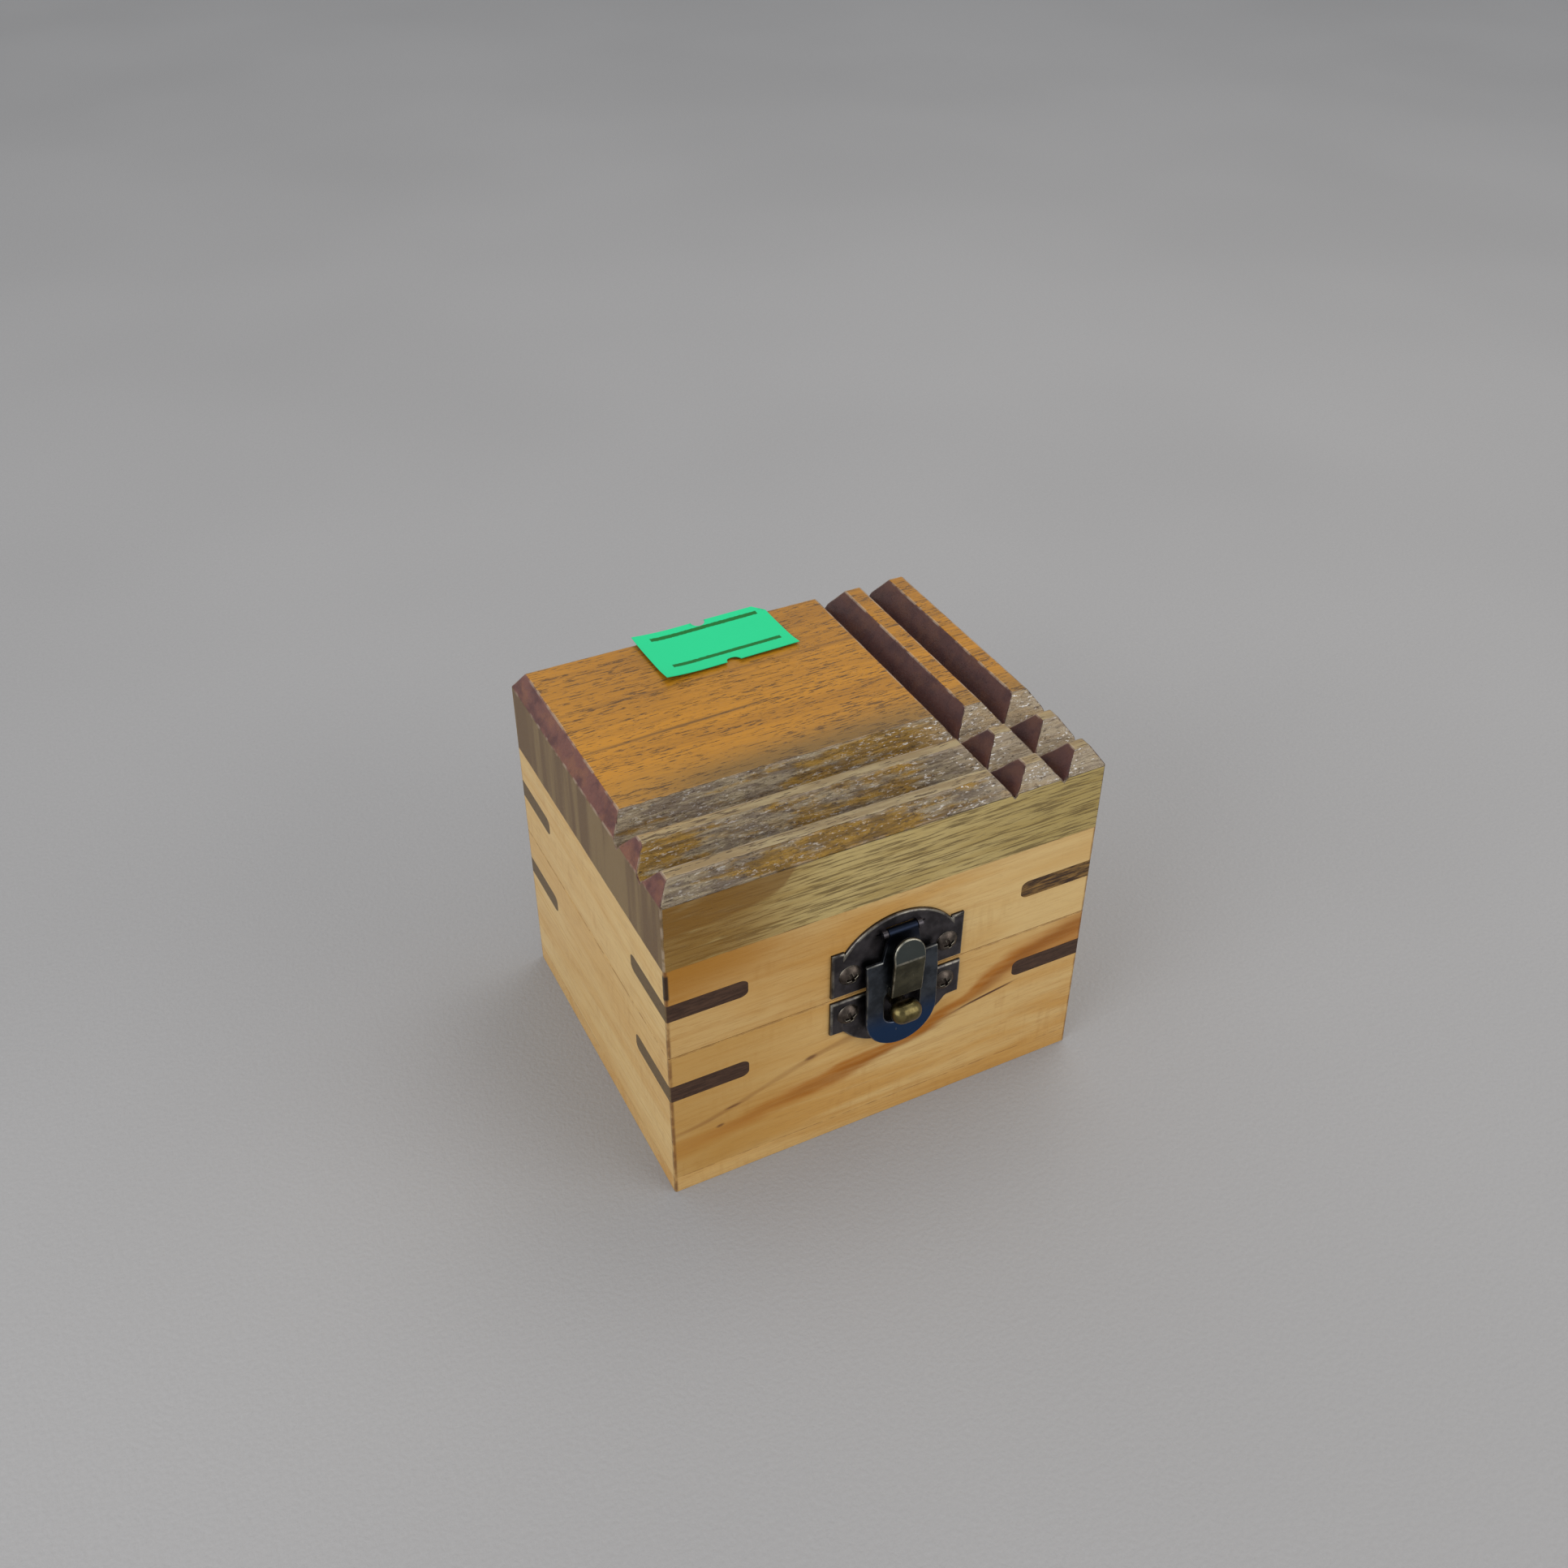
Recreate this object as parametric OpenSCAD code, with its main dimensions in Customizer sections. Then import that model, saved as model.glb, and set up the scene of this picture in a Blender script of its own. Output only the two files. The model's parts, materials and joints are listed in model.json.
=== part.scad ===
// Hinged wooden keepsake box with a carved walnut lid, splined corners,
// a slotted hasp latch in front and two butt hinges behind.
// Millimetres. Origin: centre of the underside. +Z up, the latch faces -Y.

/* [Box] */
// Width of the box, left to right
box_w = 90; // [74:1:120]
// Depth of the box, front to back
box_d = 74; // [60:1:100]
// Height of the base, from the underside to the seam
base_h = 36.7; // [31:0.1:46]
// Height of the lid's frame, from the seam to the underside of the slab
lid_frame_h = 21.3; // [20:0.1:27]
// Thickness of the wall boards
wall = 9; // [8.2:0.1:12]
// Thickness of the bottom panel
bottom_t = 4; // [3:0.5:6]
// Gap left at the seam between the lid and the base
seam_gap = 0.2; // [0.1:0.05:0.4]

/* [Lid slab] */
// Thickness of the walnut slab
slab_t = 18.3; // [15:0.1:22]
// How far each top chamfer comes down the side
chamfer_drop = 3.7; // [2:0.1:5]
// How far each top chamfer runs in from the side
chamfer_in = 2.4; // [1:0.1:2.5]
// Centre of the outer groove along the front, from the front face
front_outer_groove = 9; // [8.6:0.1:9.5]
// Centre of the inner groove along the front, from the front face
front_inner_groove = 19.4; // [18.5:0.1:24]
// Width of the grooves along the front
front_groove_w = 7.8; // [6:0.1:8]
// Centre of the outer groove along the right side, from the right face
side_outer_groove = 9.2; // [8.6:0.1:10]
// Centre of the inner groove along the right side, from the right face
side_inner_groove = 19.9; // [18.5:0.1:24]
// Width of the grooves along the right side
side_groove_w = 7.1; // [6:0.1:8]
// Depth of a groove, as a share of its width
groove_steepness = 0.64; // [0.4:0.01:0.8]

/* [Corner splines] */
// Thickness of a spline
spline_t = 4; // [3:0.1:5]
// Length of a spline seen on each face
spline_leg = 16; // [12:0.1:16.2]
// Centre of the base's splines below the seam
base_spline_drop = 9.4; // [6:0.1:14]
// Centre of the lid's splines above the seam
lid_spline_rise = 11.2; // [6:0.1:14]

/* [Latch] */
// Centre of the latch, to the right of the box's middle
latch_x = 1.8; // [-5:0.1:5]
// Width of both latch plates
plate_w = 28.2; // [26:0.1:32]
// Thickness of the latch plates
plate_t = 0.8; // [0.6:0.1:1]
// Width of the ear at each end of a plate
ear_w = 2.6; // [2:0.1:3]
// Radius of the plates' curved edge
arch_r = 13.9; // [13.2:0.1:14]
// Sheet thickness of the hasp and its thumb tab
hasp_t = 0.8; // [0.6:0.1:1]
// Width of each arm of the hasp's ring
arm_w = 3.8; // [3:0.1:4.6]
// Diameter of the screw heads on the latch
latch_screw_d = 4.7; // [3.9:0.1:5.2]
// Radius of the catch post's bead
bead_r = 2.25; // [1.8:0.05:2.8]
// Half the length of the catch post's bead
bead_half = 3.2; // [2.9:0.05:3.9]
// Width of the thumb tab
tab_w = 6.6; // [5:0.1:7]

/* [Hinges] */
// Distance of each hinge from the box's middle
hinge_x = 18; // [14:0.5:22]
// Width of a hinge
hinge_w = 20; // [16:0.5:24]
// Height of a hinge leaf, from the pin's axis
leaf_h = 9.2; // [8:0.1:12]
// Thickness of a hinge leaf
leaf_t = 0.9; // [0.6:0.1:1]
// Radius of the hinge knuckles
knuckle_r = 1.6; // [1.3:0.05:2]
// Radius of the hinge pins
hinge_pin_r = 0.75; // [0.6:0.05:0.9]
// Radial clearance of a pin in the knuckle that turns on it
running_gap = 0.05; // [0.02:0.01:0.1]

/* [Label] */
// Width of the paper label
label_w = 29.4; // [24:0.1:34]
// Depth of the paper label
label_d = 16.7; // [14:0.1:20]
// Thickness of the paper
paper_t = 0.15; // [0.1:0.05:0.3]

/* [Hidden] */

fine = 64;            // facets shown on round things
spline_round = 1.2;   // rounding of a spline's inner edge
over = 1;             // how far a cutting shape runs past what it cuts
pilot_gap = 0.05;     // radial room around a screw's shank
pilot_extra = 0.3;    // how much deeper a screw's hole is than the screw

recess_span = 0.5;    // length of a screw's cross recess, as a share of the head
recess_slit = 0.13;   // width of each of its slits, as a share of the head
recess_floor = 0.35;  // height of its floor, as a share of the head's height
recess_turn = 20;     // how far round the cross is turned, in degrees
screw_tip_r = 0.1;

walnut = [0.62, 0.36, 0.12];
dark_walnut = [0.2, 0.12, 0.07];
rail_wood = [0.85, 0.62, 0.33];
board_wood = [0.88, 0.66, 0.36];
plate_bronze = [0.2, 0.18, 0.17];
hasp_bronze = [0.24, 0.25, 0.3];
pin_bronze = [0.3, 0.27, 0.24];
tab_bronze = [0.42, 0.36, 0.22];
screw_bronze = [0.5, 0.42, 0.34];
post_brass = [0.66, 0.56, 0.3];
hinge_bronze = [0.33, 0.28, 0.2];
green_paper = [0.1, 0.85, 0.42];

half_w = box_w / 2;
half_d = box_d / 2;
lid_z = base_h + seam_gap;
seam_z = base_h + seam_gap / 2;
slab_z = lid_z + lid_frame_h;
top_z = slab_z + slab_t;

// Heights on the latch are measured from the middle of the seam, and
// distances "out" are measured from the front face towards the viewer.
upper_edge = 1;               // lower edge of the upper plate
upper_ear_top = 11.7;
upper_arch_top = 17.1;
lower_edge = -0.5;            // upper edge of the lower plate
lower_ear_bottom = -8.6;
upper_screw_rise = 6;
lower_screw_drop = 4.1;
screw_side_gap = 0.4;         // between the ring and a screw's head
latch_shank_r = 1.1;
latch_shank_l = 6.5;
latch_head_h = 1.2;

pivot_rise = 13.6;            // the hasp's pivot
pivot_out = plate_t + 0.35;
curl_r = 0.95;
hasp_pin_r = 0.4;
curl_half = 3;
lug_t = 1;
side_gap = 0.2;               // between a turning knuckle and its neighbours
neck_half = 4.2;              // half the neck's width where it meets the ring
shoulder_rise = 7.5;
rim_h = 5.85;                 // height of the ring's rim below the slot
slot_corner = 2.5;
bead_side_gap = 0.65;         // between the bead and the slot's sides
bead_rim_gap = 1.15;          // between the bead and the rim below it
bead_top_gap = 3.35;          // between the bead and the slot's upper end
hasp_out_neck = pivot_out + curl_r;
hasp_out_shoulder = hasp_out_neck + 0.1;
hasp_out_bend = hasp_out_neck + 0.75;
hasp_out_end = hasp_out_neck + 1.15;
bend_rise = 1.7;

tab_out_foot = hasp_out_bend + 1.6;
tab_out_crease = tab_out_foot + 0.6;
tab_out_tip = tab_out_foot - 0.4;
tab_crease_rise = 8.7;
tab_tip_rise = 13.2;

bead_drop = 4.7;              // centre of the catch post's bead below the seam
bead_proud = 1.15;            // and in front of the hasp's face
post_r = 1.5;
rivet_r = 1;
rivet_l = 2;

axis_out = knuckle_r + 0.15;  // hinge axis behind the back face
leaf_start = knuckle_r + 0.25;
hinge_screw_edge = 4;         // from a hinge screw to the leaf's end
hinge_head_d = 3.8;
hinge_head_h = 0.9;
hinge_shank_r = 0.9;
hinge_shank_l = 6;
pin_head_r = 1.1;
pin_head_t = 0.4;

label_x = -4.5;               // middle of the label
label_back_gap = 0.5;         // from the label's rear edge to the back face
label_clip = 2.2;             // the corner that is cut off
label_notch_r = 1.5;          // the round notches in its front and rear edges

// ---- sizes that follow from those above ----

bead_out = hasp_out_end + bead_proud;
slot_r = bead_half + bead_side_gap;
slot_bottom = -bead_drop - bead_r - bead_rim_gap;
slot_top = -bead_drop + bead_r + bead_top_gap;
ring_r = slot_r + arm_w;
ring_drop = rim_h - slot_bottom - ring_r;     // centre of the ring's round end
plate_screw_x = ring_r + screw_side_gap + latch_screw_d / 2;
tab_foot_rise = slot_top - 1.1;
hinge_screw_x = hinge_w / 2 - hinge_screw_edge;
hinge_screw_rise = (leaf_start + leaf_h) / 2;
base_spline_z = seam_z - base_spline_drop;
lid_spline_z = seam_z + lid_spline_rise;
third = hinge_w / 3;

// ---- shared shapes ----

// Plan of one mitred board of the frame
function board_plan(side) =
    side == "front" ? [[-half_w, -half_d], [half_w, -half_d],
        [half_w - wall, wall - half_d], [wall - half_w, wall - half_d]] :
    side == "back" ? [for (p = board_plan("front")) [-p.x, -p.y]] :
    side == "right" ? [[half_w, -half_d], [half_w, half_d],
        [half_w - wall, half_d - wall], [half_w - wall, wall - half_d]] :
    [for (p = board_plan("right")) [-p.x, -p.y]];

// A corner triangle of the given leg and thickness, centred on z = 0, its corner at the origin
module corner_triangle(leg, thickness) {
    linear_extrude(thickness, center = true) polygon([[0, 0], [leg, 0], [0, leg]]);
}

// One corner spline centred on height z. Its inner edge is rounded, as the kerf's end is.
// sx and sy choose the corner.
module spline(sx, sy, z) {
    r = spline_round;
    inset = r * sqrt(2);
    color(dark_walnut)
        translate([sx * half_w, sy * half_d, z])
            mirror([sx > 0 ? 1 : 0, 0, 0]) mirror([0, sy > 0 ? 1 : 0, 0])
                intersection() {
                    union() {
                        corner_triangle(spline_leg - inset, spline_t);
                        corner_triangle(spline_leg, spline_t - 2 * r);
                        for (s = [-1, 1])
                            translate([spline_leg - inset, 0, s * (spline_t / 2 - r)])
                                rotate([0, 0, 45]) rotate([-90, 0, 0])
                                    translate([0, 0, -2 * r])
                                        cylinder(r = r, h = spline_leg * sqrt(2) + 4 * r, $fn = fine);
                    }
                    translate([0, 0, -spline_t]) cube([spline_leg, spline_leg, 2 * spline_t]);
                }
}

// One board of a frame from z0 to z1, with its kerfs cut for the splines
module board(side, z0, z1, spline_z) {
    difference() {
        translate([0, 0, z0]) linear_extrude(z1 - z0) polygon(board_plan(side));
        for (sx = [-1, 1], sy = [-1, 1]) spline(sx, sy, spline_z);
    }
}

module lid_board(side) { board(side, lid_z, slab_z, lid_spline_z); }
module base_board(side) { board(side, bottom_t, base_h, base_spline_z); }

// A round-headed cross-recess screw along Z, its head's seat at z = 0
module screw(head_d, head_h, shank_r, shank_l) {
    dome_r = (head_d * head_d / 4 + head_h * head_h) / (2 * head_h);
    recess_l = head_d * recess_span;
    recess_w = head_d * recess_slit;
    tip_l = 2 * shank_r;
    difference() {
        intersection() {
            translate([0, 0, head_h - dome_r]) sphere(r = dome_r, $fn = fine);
            cylinder(r = head_d, h = head_h + over, $fn = fine);
        }
        for (a = [0, 90])
            rotate([0, 0, a + recess_turn])
                translate([-recess_l / 2, -recess_w / 2, head_h * recess_floor])
                    cube([recess_l, recess_w, head_h]);
    }
    translate([0, 0, tip_l - shank_l]) cylinder(r = shank_r, h = shank_l - tip_l, $fn = fine);
    translate([0, 0, -shank_l]) cylinder(r1 = screw_tip_r, r2 = shank_r, h = tip_l, $fn = fine);
}

// The hole that a screw's shank takes in wood and sheet, open above z = 0
module pilot(shank_r, shank_l) {
    translate([0, 0, -shank_l - pilot_extra])
        cylinder(r = shank_r + pilot_gap, h = shank_l + over + pilot_extra, $fn = fine);
}

// ---- places on the front and the back ----

// Puts children on the front face: their X and Y become across and up, their Z points out
module on_front(out = 0) {
    translate([latch_x, -half_d - out, seam_z]) rotate([90, 0, 0]) children();
}

// Sweeps an (out, rise) outline across the latch
module across_latch(width) {
    translate([latch_x, -half_d, seam_z])
        rotate([90, 0, -90]) linear_extrude(width, center = true) children();
}

// Each place of a latch screw on the front face, at height rise
module latch_screw_places(rise) {
    on_front(plate_t)
        for (s = [-1, 1]) translate([s * plate_screw_x, rise, 0]) children();
}

// Each place of a hinge screw, dir 1 on the lid and -1 on the base
module hinge_screw_places(dir) {
    for (h = [-1, 1], s = [-1, 1])
        translate([h * hinge_x + s * hinge_screw_x, half_d + leaf_t,
                seam_z + dir * hinge_screw_rise])
            rotate([-90, 0, 0]) children();
}

// ---- lid ----

// Outline of the slab across its width or depth, half being half of that size
module slab_outline(half) {
    polygon([[-half, slab_z], [half, slab_z], [half, top_z - chamfer_drop],
        [half - chamfer_in, top_z], [chamfer_in - half, top_z], [-half, top_z - chamfer_drop]]);
}

// A V groove's outline, centred on x = 0 with its mouth at y = 0
module groove_outline(width) {
    depth = width * groove_steepness;
    mouth = width / 2 * (depth + over) / depth;
    polygon([[-mouth, over], [mouth, over], [0, -depth]]);
}

module lid_top() {
    color(walnut) difference() {
        intersection() {
            rotate([90, 0, 0]) linear_extrude(box_d, center = true) slab_outline(half_w);
            rotate([90, 0, 90]) linear_extrude(box_w, center = true) slab_outline(half_d);
        }
        for (y = [front_outer_groove, front_inner_groove])
            translate([0, y - half_d, top_z]) rotate([90, 0, 90])
                linear_extrude(box_w + 2 * over, center = true) groove_outline(front_groove_w);
        for (x = [side_outer_groove, side_inner_groove])
            translate([half_w - x, 0, top_z]) rotate([90, 0, 0])
                linear_extrude(box_d + 2 * over, center = true) groove_outline(side_groove_w);
    }
}

module lid_front_rail() {
    color(rail_wood) difference() {
        lid_board("front");
        latch_screw_places(upper_screw_rise) pilot(latch_shank_r, latch_shank_l);
    }
}

module lid_back_rail() {
    color(rail_wood) difference() {
        lid_board("back");
        hinge_screw_places(1) pilot(hinge_shank_r, hinge_shank_l);
    }
}

module lid_left_rail() { color(rail_wood) lid_board("left"); }
module lid_right_rail() { color(rail_wood) lid_board("right"); }
module lid_spline_front_left() { spline(-1, -1, lid_spline_z); }
module lid_spline_front_right() { spline(1, -1, lid_spline_z); }
module lid_spline_back_left() { spline(-1, 1, lid_spline_z); }
module lid_spline_back_right() { spline(1, 1, lid_spline_z); }

// ---- base ----

module base_front_board() {
    color(board_wood) difference() {
        base_board("front");
        latch_screw_places(-lower_screw_drop) pilot(latch_shank_r, latch_shank_l);
        on_front(plate_t) translate([0, -bead_drop, 0]) pilot(rivet_r, rivet_l + plate_t);
    }
}

module base_back_board() {
    color(board_wood) difference() {
        base_board("back");
        hinge_screw_places(-1) pilot(hinge_shank_r, hinge_shank_l);
    }
}

module base_left_board() { color(board_wood) base_board("left"); }
module base_right_board() { color(board_wood) base_board("right"); }
module base_spline_front_left() { spline(-1, -1, base_spline_z); }
module base_spline_front_right() { spline(1, -1, base_spline_z); }
module base_spline_back_left() { spline(-1, 1, base_spline_z); }
module base_spline_back_right() { spline(1, 1, base_spline_z); }

module bottom_panel() {
    color(board_wood)
        translate([-half_w, -half_d, 0]) cube([box_w, box_d, bottom_t]);
}

// ---- latch ----

// Outline of a plate above y = edge: a round edge between two square ears.
// ear_top is the ears' height and arch_top the height of the round edge.
module plate_outline(edge, ear_top, arch_top) {
    outer = plate_w / 2;
    inner = outer - ear_w;
    step = ear_top - ear_w;
    intersection() {
        translate([0, arch_top - arch_r]) circle(r = arch_r, $fn = fine);
        translate([-outer, edge + over]) square([plate_w, arch_top]);
    }
    polygon([[-outer, edge], [outer, edge], [outer, ear_top], [inner, ear_top],
        [inner, step], [-inner, step], [-inner, ear_top], [-outer, ear_top]]);
}

module latch_upper_plate() {
    lug_x = curl_half + side_gap;
    color(plate_bronze) difference() {
        union() {
            on_front() linear_extrude(plate_t)
                plate_outline(upper_edge, upper_ear_top, upper_arch_top);
            for (s = [-1, 1])
                on_front() translate([s * (lug_x + lug_t / 2), pivot_rise, 0]) {
                    translate([-lug_t / 2, 0, pivot_out]) rotate([0, 90, 0])
                        cylinder(r = curl_r, h = lug_t, $fn = fine);
                    translate([-lug_t / 2, -curl_r, plate_t / 2])
                        cube([lug_t, 2 * curl_r, pivot_out - plate_t / 2]);
                }
        }
        latch_screw_places(upper_screw_rise) pilot(latch_shank_r, latch_shank_l);
        // window that the curl turns in
        on_front() translate([-lug_x, pivot_rise - curl_r - side_gap, -over])
            cube([2 * lug_x, 2 * (curl_r + side_gap), over + plate_t + over]);
        // bore for the pivot pin
        on_front() translate([-lug_x - lug_t - over, pivot_rise, pivot_out]) rotate([0, 90, 0])
            cylinder(r = hasp_pin_r, h = 2 * (lug_x + lug_t + over), $fn = fine);
    }
}

module latch_upper_screws() {
    color(screw_bronze) latch_screw_places(upper_screw_rise)
        screw(latch_screw_d, latch_head_h, latch_shank_r, latch_shank_l);
}

module hasp_pin() {
    length = 2 * (curl_half + side_gap + lug_t);
    color(pin_bronze) on_front() translate([-length / 2, pivot_rise, pivot_out])
        rotate([0, 90, 0]) cylinder(r = hasp_pin_r, h = length, $fn = fine);
}

// Rectangle of half width w from y0 up to y1 with round corners of radius r
module rounded_slot(w, y0, y1, r) {
    translate([-w, y0 + r]) square([2 * w, y1 - y0 - 2 * r]);
    translate([r - w, y0]) square([2 * (w - r), y1 - y0]);
    for (x = [r - w, w - r], y = [y0 + r, y1 - r]) translate([x, y]) circle(r = r, $fn = fine);
}

// The hasp from the front: neck, shoulders, arms and the round end
module hasp_outline() {
    difference() {
        union() {
            polygon([[-curl_half, pivot_rise], [curl_half, pivot_rise],
                [neck_half, shoulder_rise], [-neck_half, shoulder_rise]]);
            translate([-ring_r, -ring_drop])
                square([2 * ring_r, shoulder_rise + ring_drop]);
            translate([0, -ring_drop]) circle(r = ring_r, $fn = fine);
        }
        rounded_slot(slot_r, slot_bottom, slot_top, slot_corner);
    }
}

// The hasp from the side, as (out, rise): it leans away from the plates as it goes down
module hasp_profile() {
    end_drop = ring_drop + ring_r + over;
    outer = [[hasp_out_neck, pivot_rise], [hasp_out_shoulder, shoulder_rise],
        [hasp_out_bend, bend_rise], [hasp_out_end, -end_drop]];
    count = len(outer);
    polygon([each outer, for (i = [count - 1:-1:0]) outer[i] - [hasp_t, 0]]);
}

module hasp() {
    color(hasp_bronze) difference() {
        union() {
            intersection() {
                on_front() linear_extrude(2 * hasp_out_end) hasp_outline();
                across_latch(2 * ring_r + over) hasp_profile();
            }
            on_front() translate([-curl_half, pivot_rise, pivot_out]) rotate([0, 90, 0])
                cylinder(r = curl_r, h = 2 * curl_half, $fn = fine);
        }
        on_front() translate([-curl_half - over, pivot_rise, pivot_out]) rotate([0, 90, 0])
            cylinder(r = hasp_pin_r + running_gap, h = 2 * (curl_half + over), $fn = fine);
    }
}

// Out distance of the hasp's outer face at a height below its bend
function hasp_face(rise) =
    let (end_drop = ring_drop + ring_r + over)
    hasp_out_bend + (bend_rise - rise) / (bend_rise + end_drop) * (hasp_out_end - hasp_out_bend);

module hasp_thumb_tab() {
    foot_top = bend_rise;
    color(tab_bronze) intersection() {
        across_latch(tab_w) polygon([
            [tab_out_foot, tab_foot_rise], [tab_out_crease, tab_crease_rise],
            [tab_out_tip, tab_tip_rise], [tab_out_tip - hasp_t, tab_tip_rise],
            [tab_out_crease - hasp_t, tab_crease_rise], [tab_out_foot - hasp_t, foot_top],
            [hasp_face(foot_top), foot_top], [hasp_face(slot_top), slot_top],
            [hasp_face(tab_foot_rise), tab_foot_rise]]);
        on_front() linear_extrude(2 * tab_out_crease) {
            translate([0, tab_tip_rise - tab_w / 2]) circle(r = tab_w / 2, $fn = fine);
            translate([-tab_w / 2, tab_foot_rise - over])
                square([tab_w, tab_tip_rise - tab_w / 2 - tab_foot_rise + over]);
        }
    }
}

module latch_lower_plate() {
    color(plate_bronze) difference() {
        on_front() linear_extrude(plate_t) mirror([0, 1])
            plate_outline(-lower_edge, -lower_ear_bottom, arch_r - lower_edge);
        latch_screw_places(-lower_screw_drop) pilot(latch_shank_r, latch_shank_l);
        on_front(plate_t) translate([0, -bead_drop, 0]) pilot(rivet_r, plate_t + rivet_l);
    }
}

module latch_lower_screws() {
    color(screw_bronze) latch_screw_places(-lower_screw_drop)
        screw(latch_screw_d, latch_head_h, latch_shank_r, latch_shank_l);
}

// A round bead across the end of a post that is riveted through the lower plate
module catch_post() {
    straight = bead_half - bead_r;
    color(post_brass) on_front() translate([0, -bead_drop, 0]) {
        translate([-straight, 0, bead_out]) rotate([0, 90, 0])
            cylinder(r = bead_r, h = 2 * straight, $fn = fine);
        for (s = [-1, 1]) translate([s * straight, 0, bead_out]) sphere(r = bead_r, $fn = fine);
        translate([0, 0, plate_t]) cylinder(r = post_r, h = bead_out - plate_t, $fn = fine);
        translate([0, 0, -rivet_l]) cylinder(r = rivet_r, h = rivet_l + plate_t, $fn = fine);
    }
}

// ---- hinges ----

// Stretches of the pin's axis that the lid's and the base's knuckles take
lid_knuckles = [[-third / 2, third / 2]];
base_knuckles = [[-hinge_w / 2, -third / 2 - side_gap], [third / 2 + side_gap, hinge_w / 2]];

// One leaf with its knuckles about the X axis, lying above it against the back face
module leaf(knuckles, bore_r) {
    difference() {
        union() {
            translate([-hinge_w / 2, -axis_out, leaf_start])
                cube([hinge_w, leaf_t, leaf_h - leaf_start]);
            for (k = knuckles) {
                translate([k[0], -axis_out, 0]) cube([k[1] - k[0], leaf_t, leaf_start]);
                translate([k[0], 0, 0]) rotate([0, 90, 0])
                    cylinder(r = knuckle_r, h = k[1] - k[0], $fn = fine);
            }
        }
        translate([-hinge_w / 2 - over, 0, 0]) rotate([0, 90, 0])
            cylinder(r = bore_r, h = hinge_w + 2 * over, $fn = fine);
        for (s = [-1, 1])
            translate([s * hinge_screw_x, leaf_t - axis_out, hinge_screw_rise])
                rotate([-90, 0, 0]) pilot(hinge_shank_r, hinge_shank_l);
    }
}

// Puts children on a hinge's axis, side -1 on the left and 1 on the right
module on_hinge(side) { translate([side * hinge_x, half_d + axis_out, seam_z]) children(); }

module lid_leaf(side) {
    color(hinge_bronze) on_hinge(side) leaf(lid_knuckles, hinge_pin_r + running_gap);
}

module base_leaf(side) {
    color(hinge_bronze) on_hinge(side) mirror([0, 0, 1]) leaf(base_knuckles, hinge_pin_r);
}

module hinge_pin(side) {
    color(screw_bronze) on_hinge(side) {
        translate([-hinge_w / 2, 0, 0]) rotate([0, 90, 0])
            cylinder(r = hinge_pin_r, h = hinge_w, $fn = fine);
        for (s = [0, 1]) mirror([s, 0, 0])
            translate([hinge_w / 2, 0, 0]) rotate([0, 90, 0])
                cylinder(r = pin_head_r, h = pin_head_t, $fn = fine);
    }
}

module hinge_left_lid_leaf() { lid_leaf(-1); }
module hinge_left_base_leaf() { base_leaf(-1); }
module hinge_left_pin() { hinge_pin(-1); }
module hinge_right_lid_leaf() { lid_leaf(1); }
module hinge_right_base_leaf() { base_leaf(1); }
module hinge_right_pin() { hinge_pin(1); }

module hinge_lid_screws() {
    color(screw_bronze) hinge_screw_places(1)
        screw(hinge_head_d, hinge_head_h, hinge_shank_r, hinge_shank_l);
}

module hinge_base_screws() {
    color(screw_bronze) hinge_screw_places(-1)
        screw(hinge_head_d, hinge_head_h, hinge_shank_r, hinge_shank_l);
}

// ---- label ----

module paper_label() {
    back = half_d - label_back_gap;
    left = label_x - label_w / 2;
    right = label_x + label_w / 2;
    color(green_paper) translate([0, 0, top_z]) linear_extrude(paper_t) difference() {
        polygon([[left, back - label_d], [right, back - label_d], [right, back - label_clip],
            [right - label_clip, back], [left, back]]);
        for (y = [back - label_d, back])
            translate([label_x, y]) circle(r = label_notch_r, $fn = fine);
    }
}

lid_top();
lid_front_rail();
lid_back_rail();
lid_left_rail();
lid_right_rail();
lid_spline_front_left();
lid_spline_front_right();
lid_spline_back_left();
lid_spline_back_right();
base_front_board();
base_back_board();
base_left_board();
base_right_board();
base_spline_front_left();
base_spline_front_right();
base_spline_back_left();
base_spline_back_right();
bottom_panel();
latch_upper_plate();
latch_upper_screws();
hasp_pin();
hasp();
hasp_thumb_tab();
latch_lower_plate();
latch_lower_screws();
catch_post();
hinge_left_lid_leaf();
hinge_left_base_leaf();
hinge_left_pin();
hinge_right_lid_leaf();
hinge_right_base_leaf();
hinge_right_pin();
hinge_lid_screws();
hinge_base_screws();
paper_label();
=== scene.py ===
"""Surfaces, finishes and setting of a hinged wooden keepsake box with a carved walnut lid."""

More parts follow.
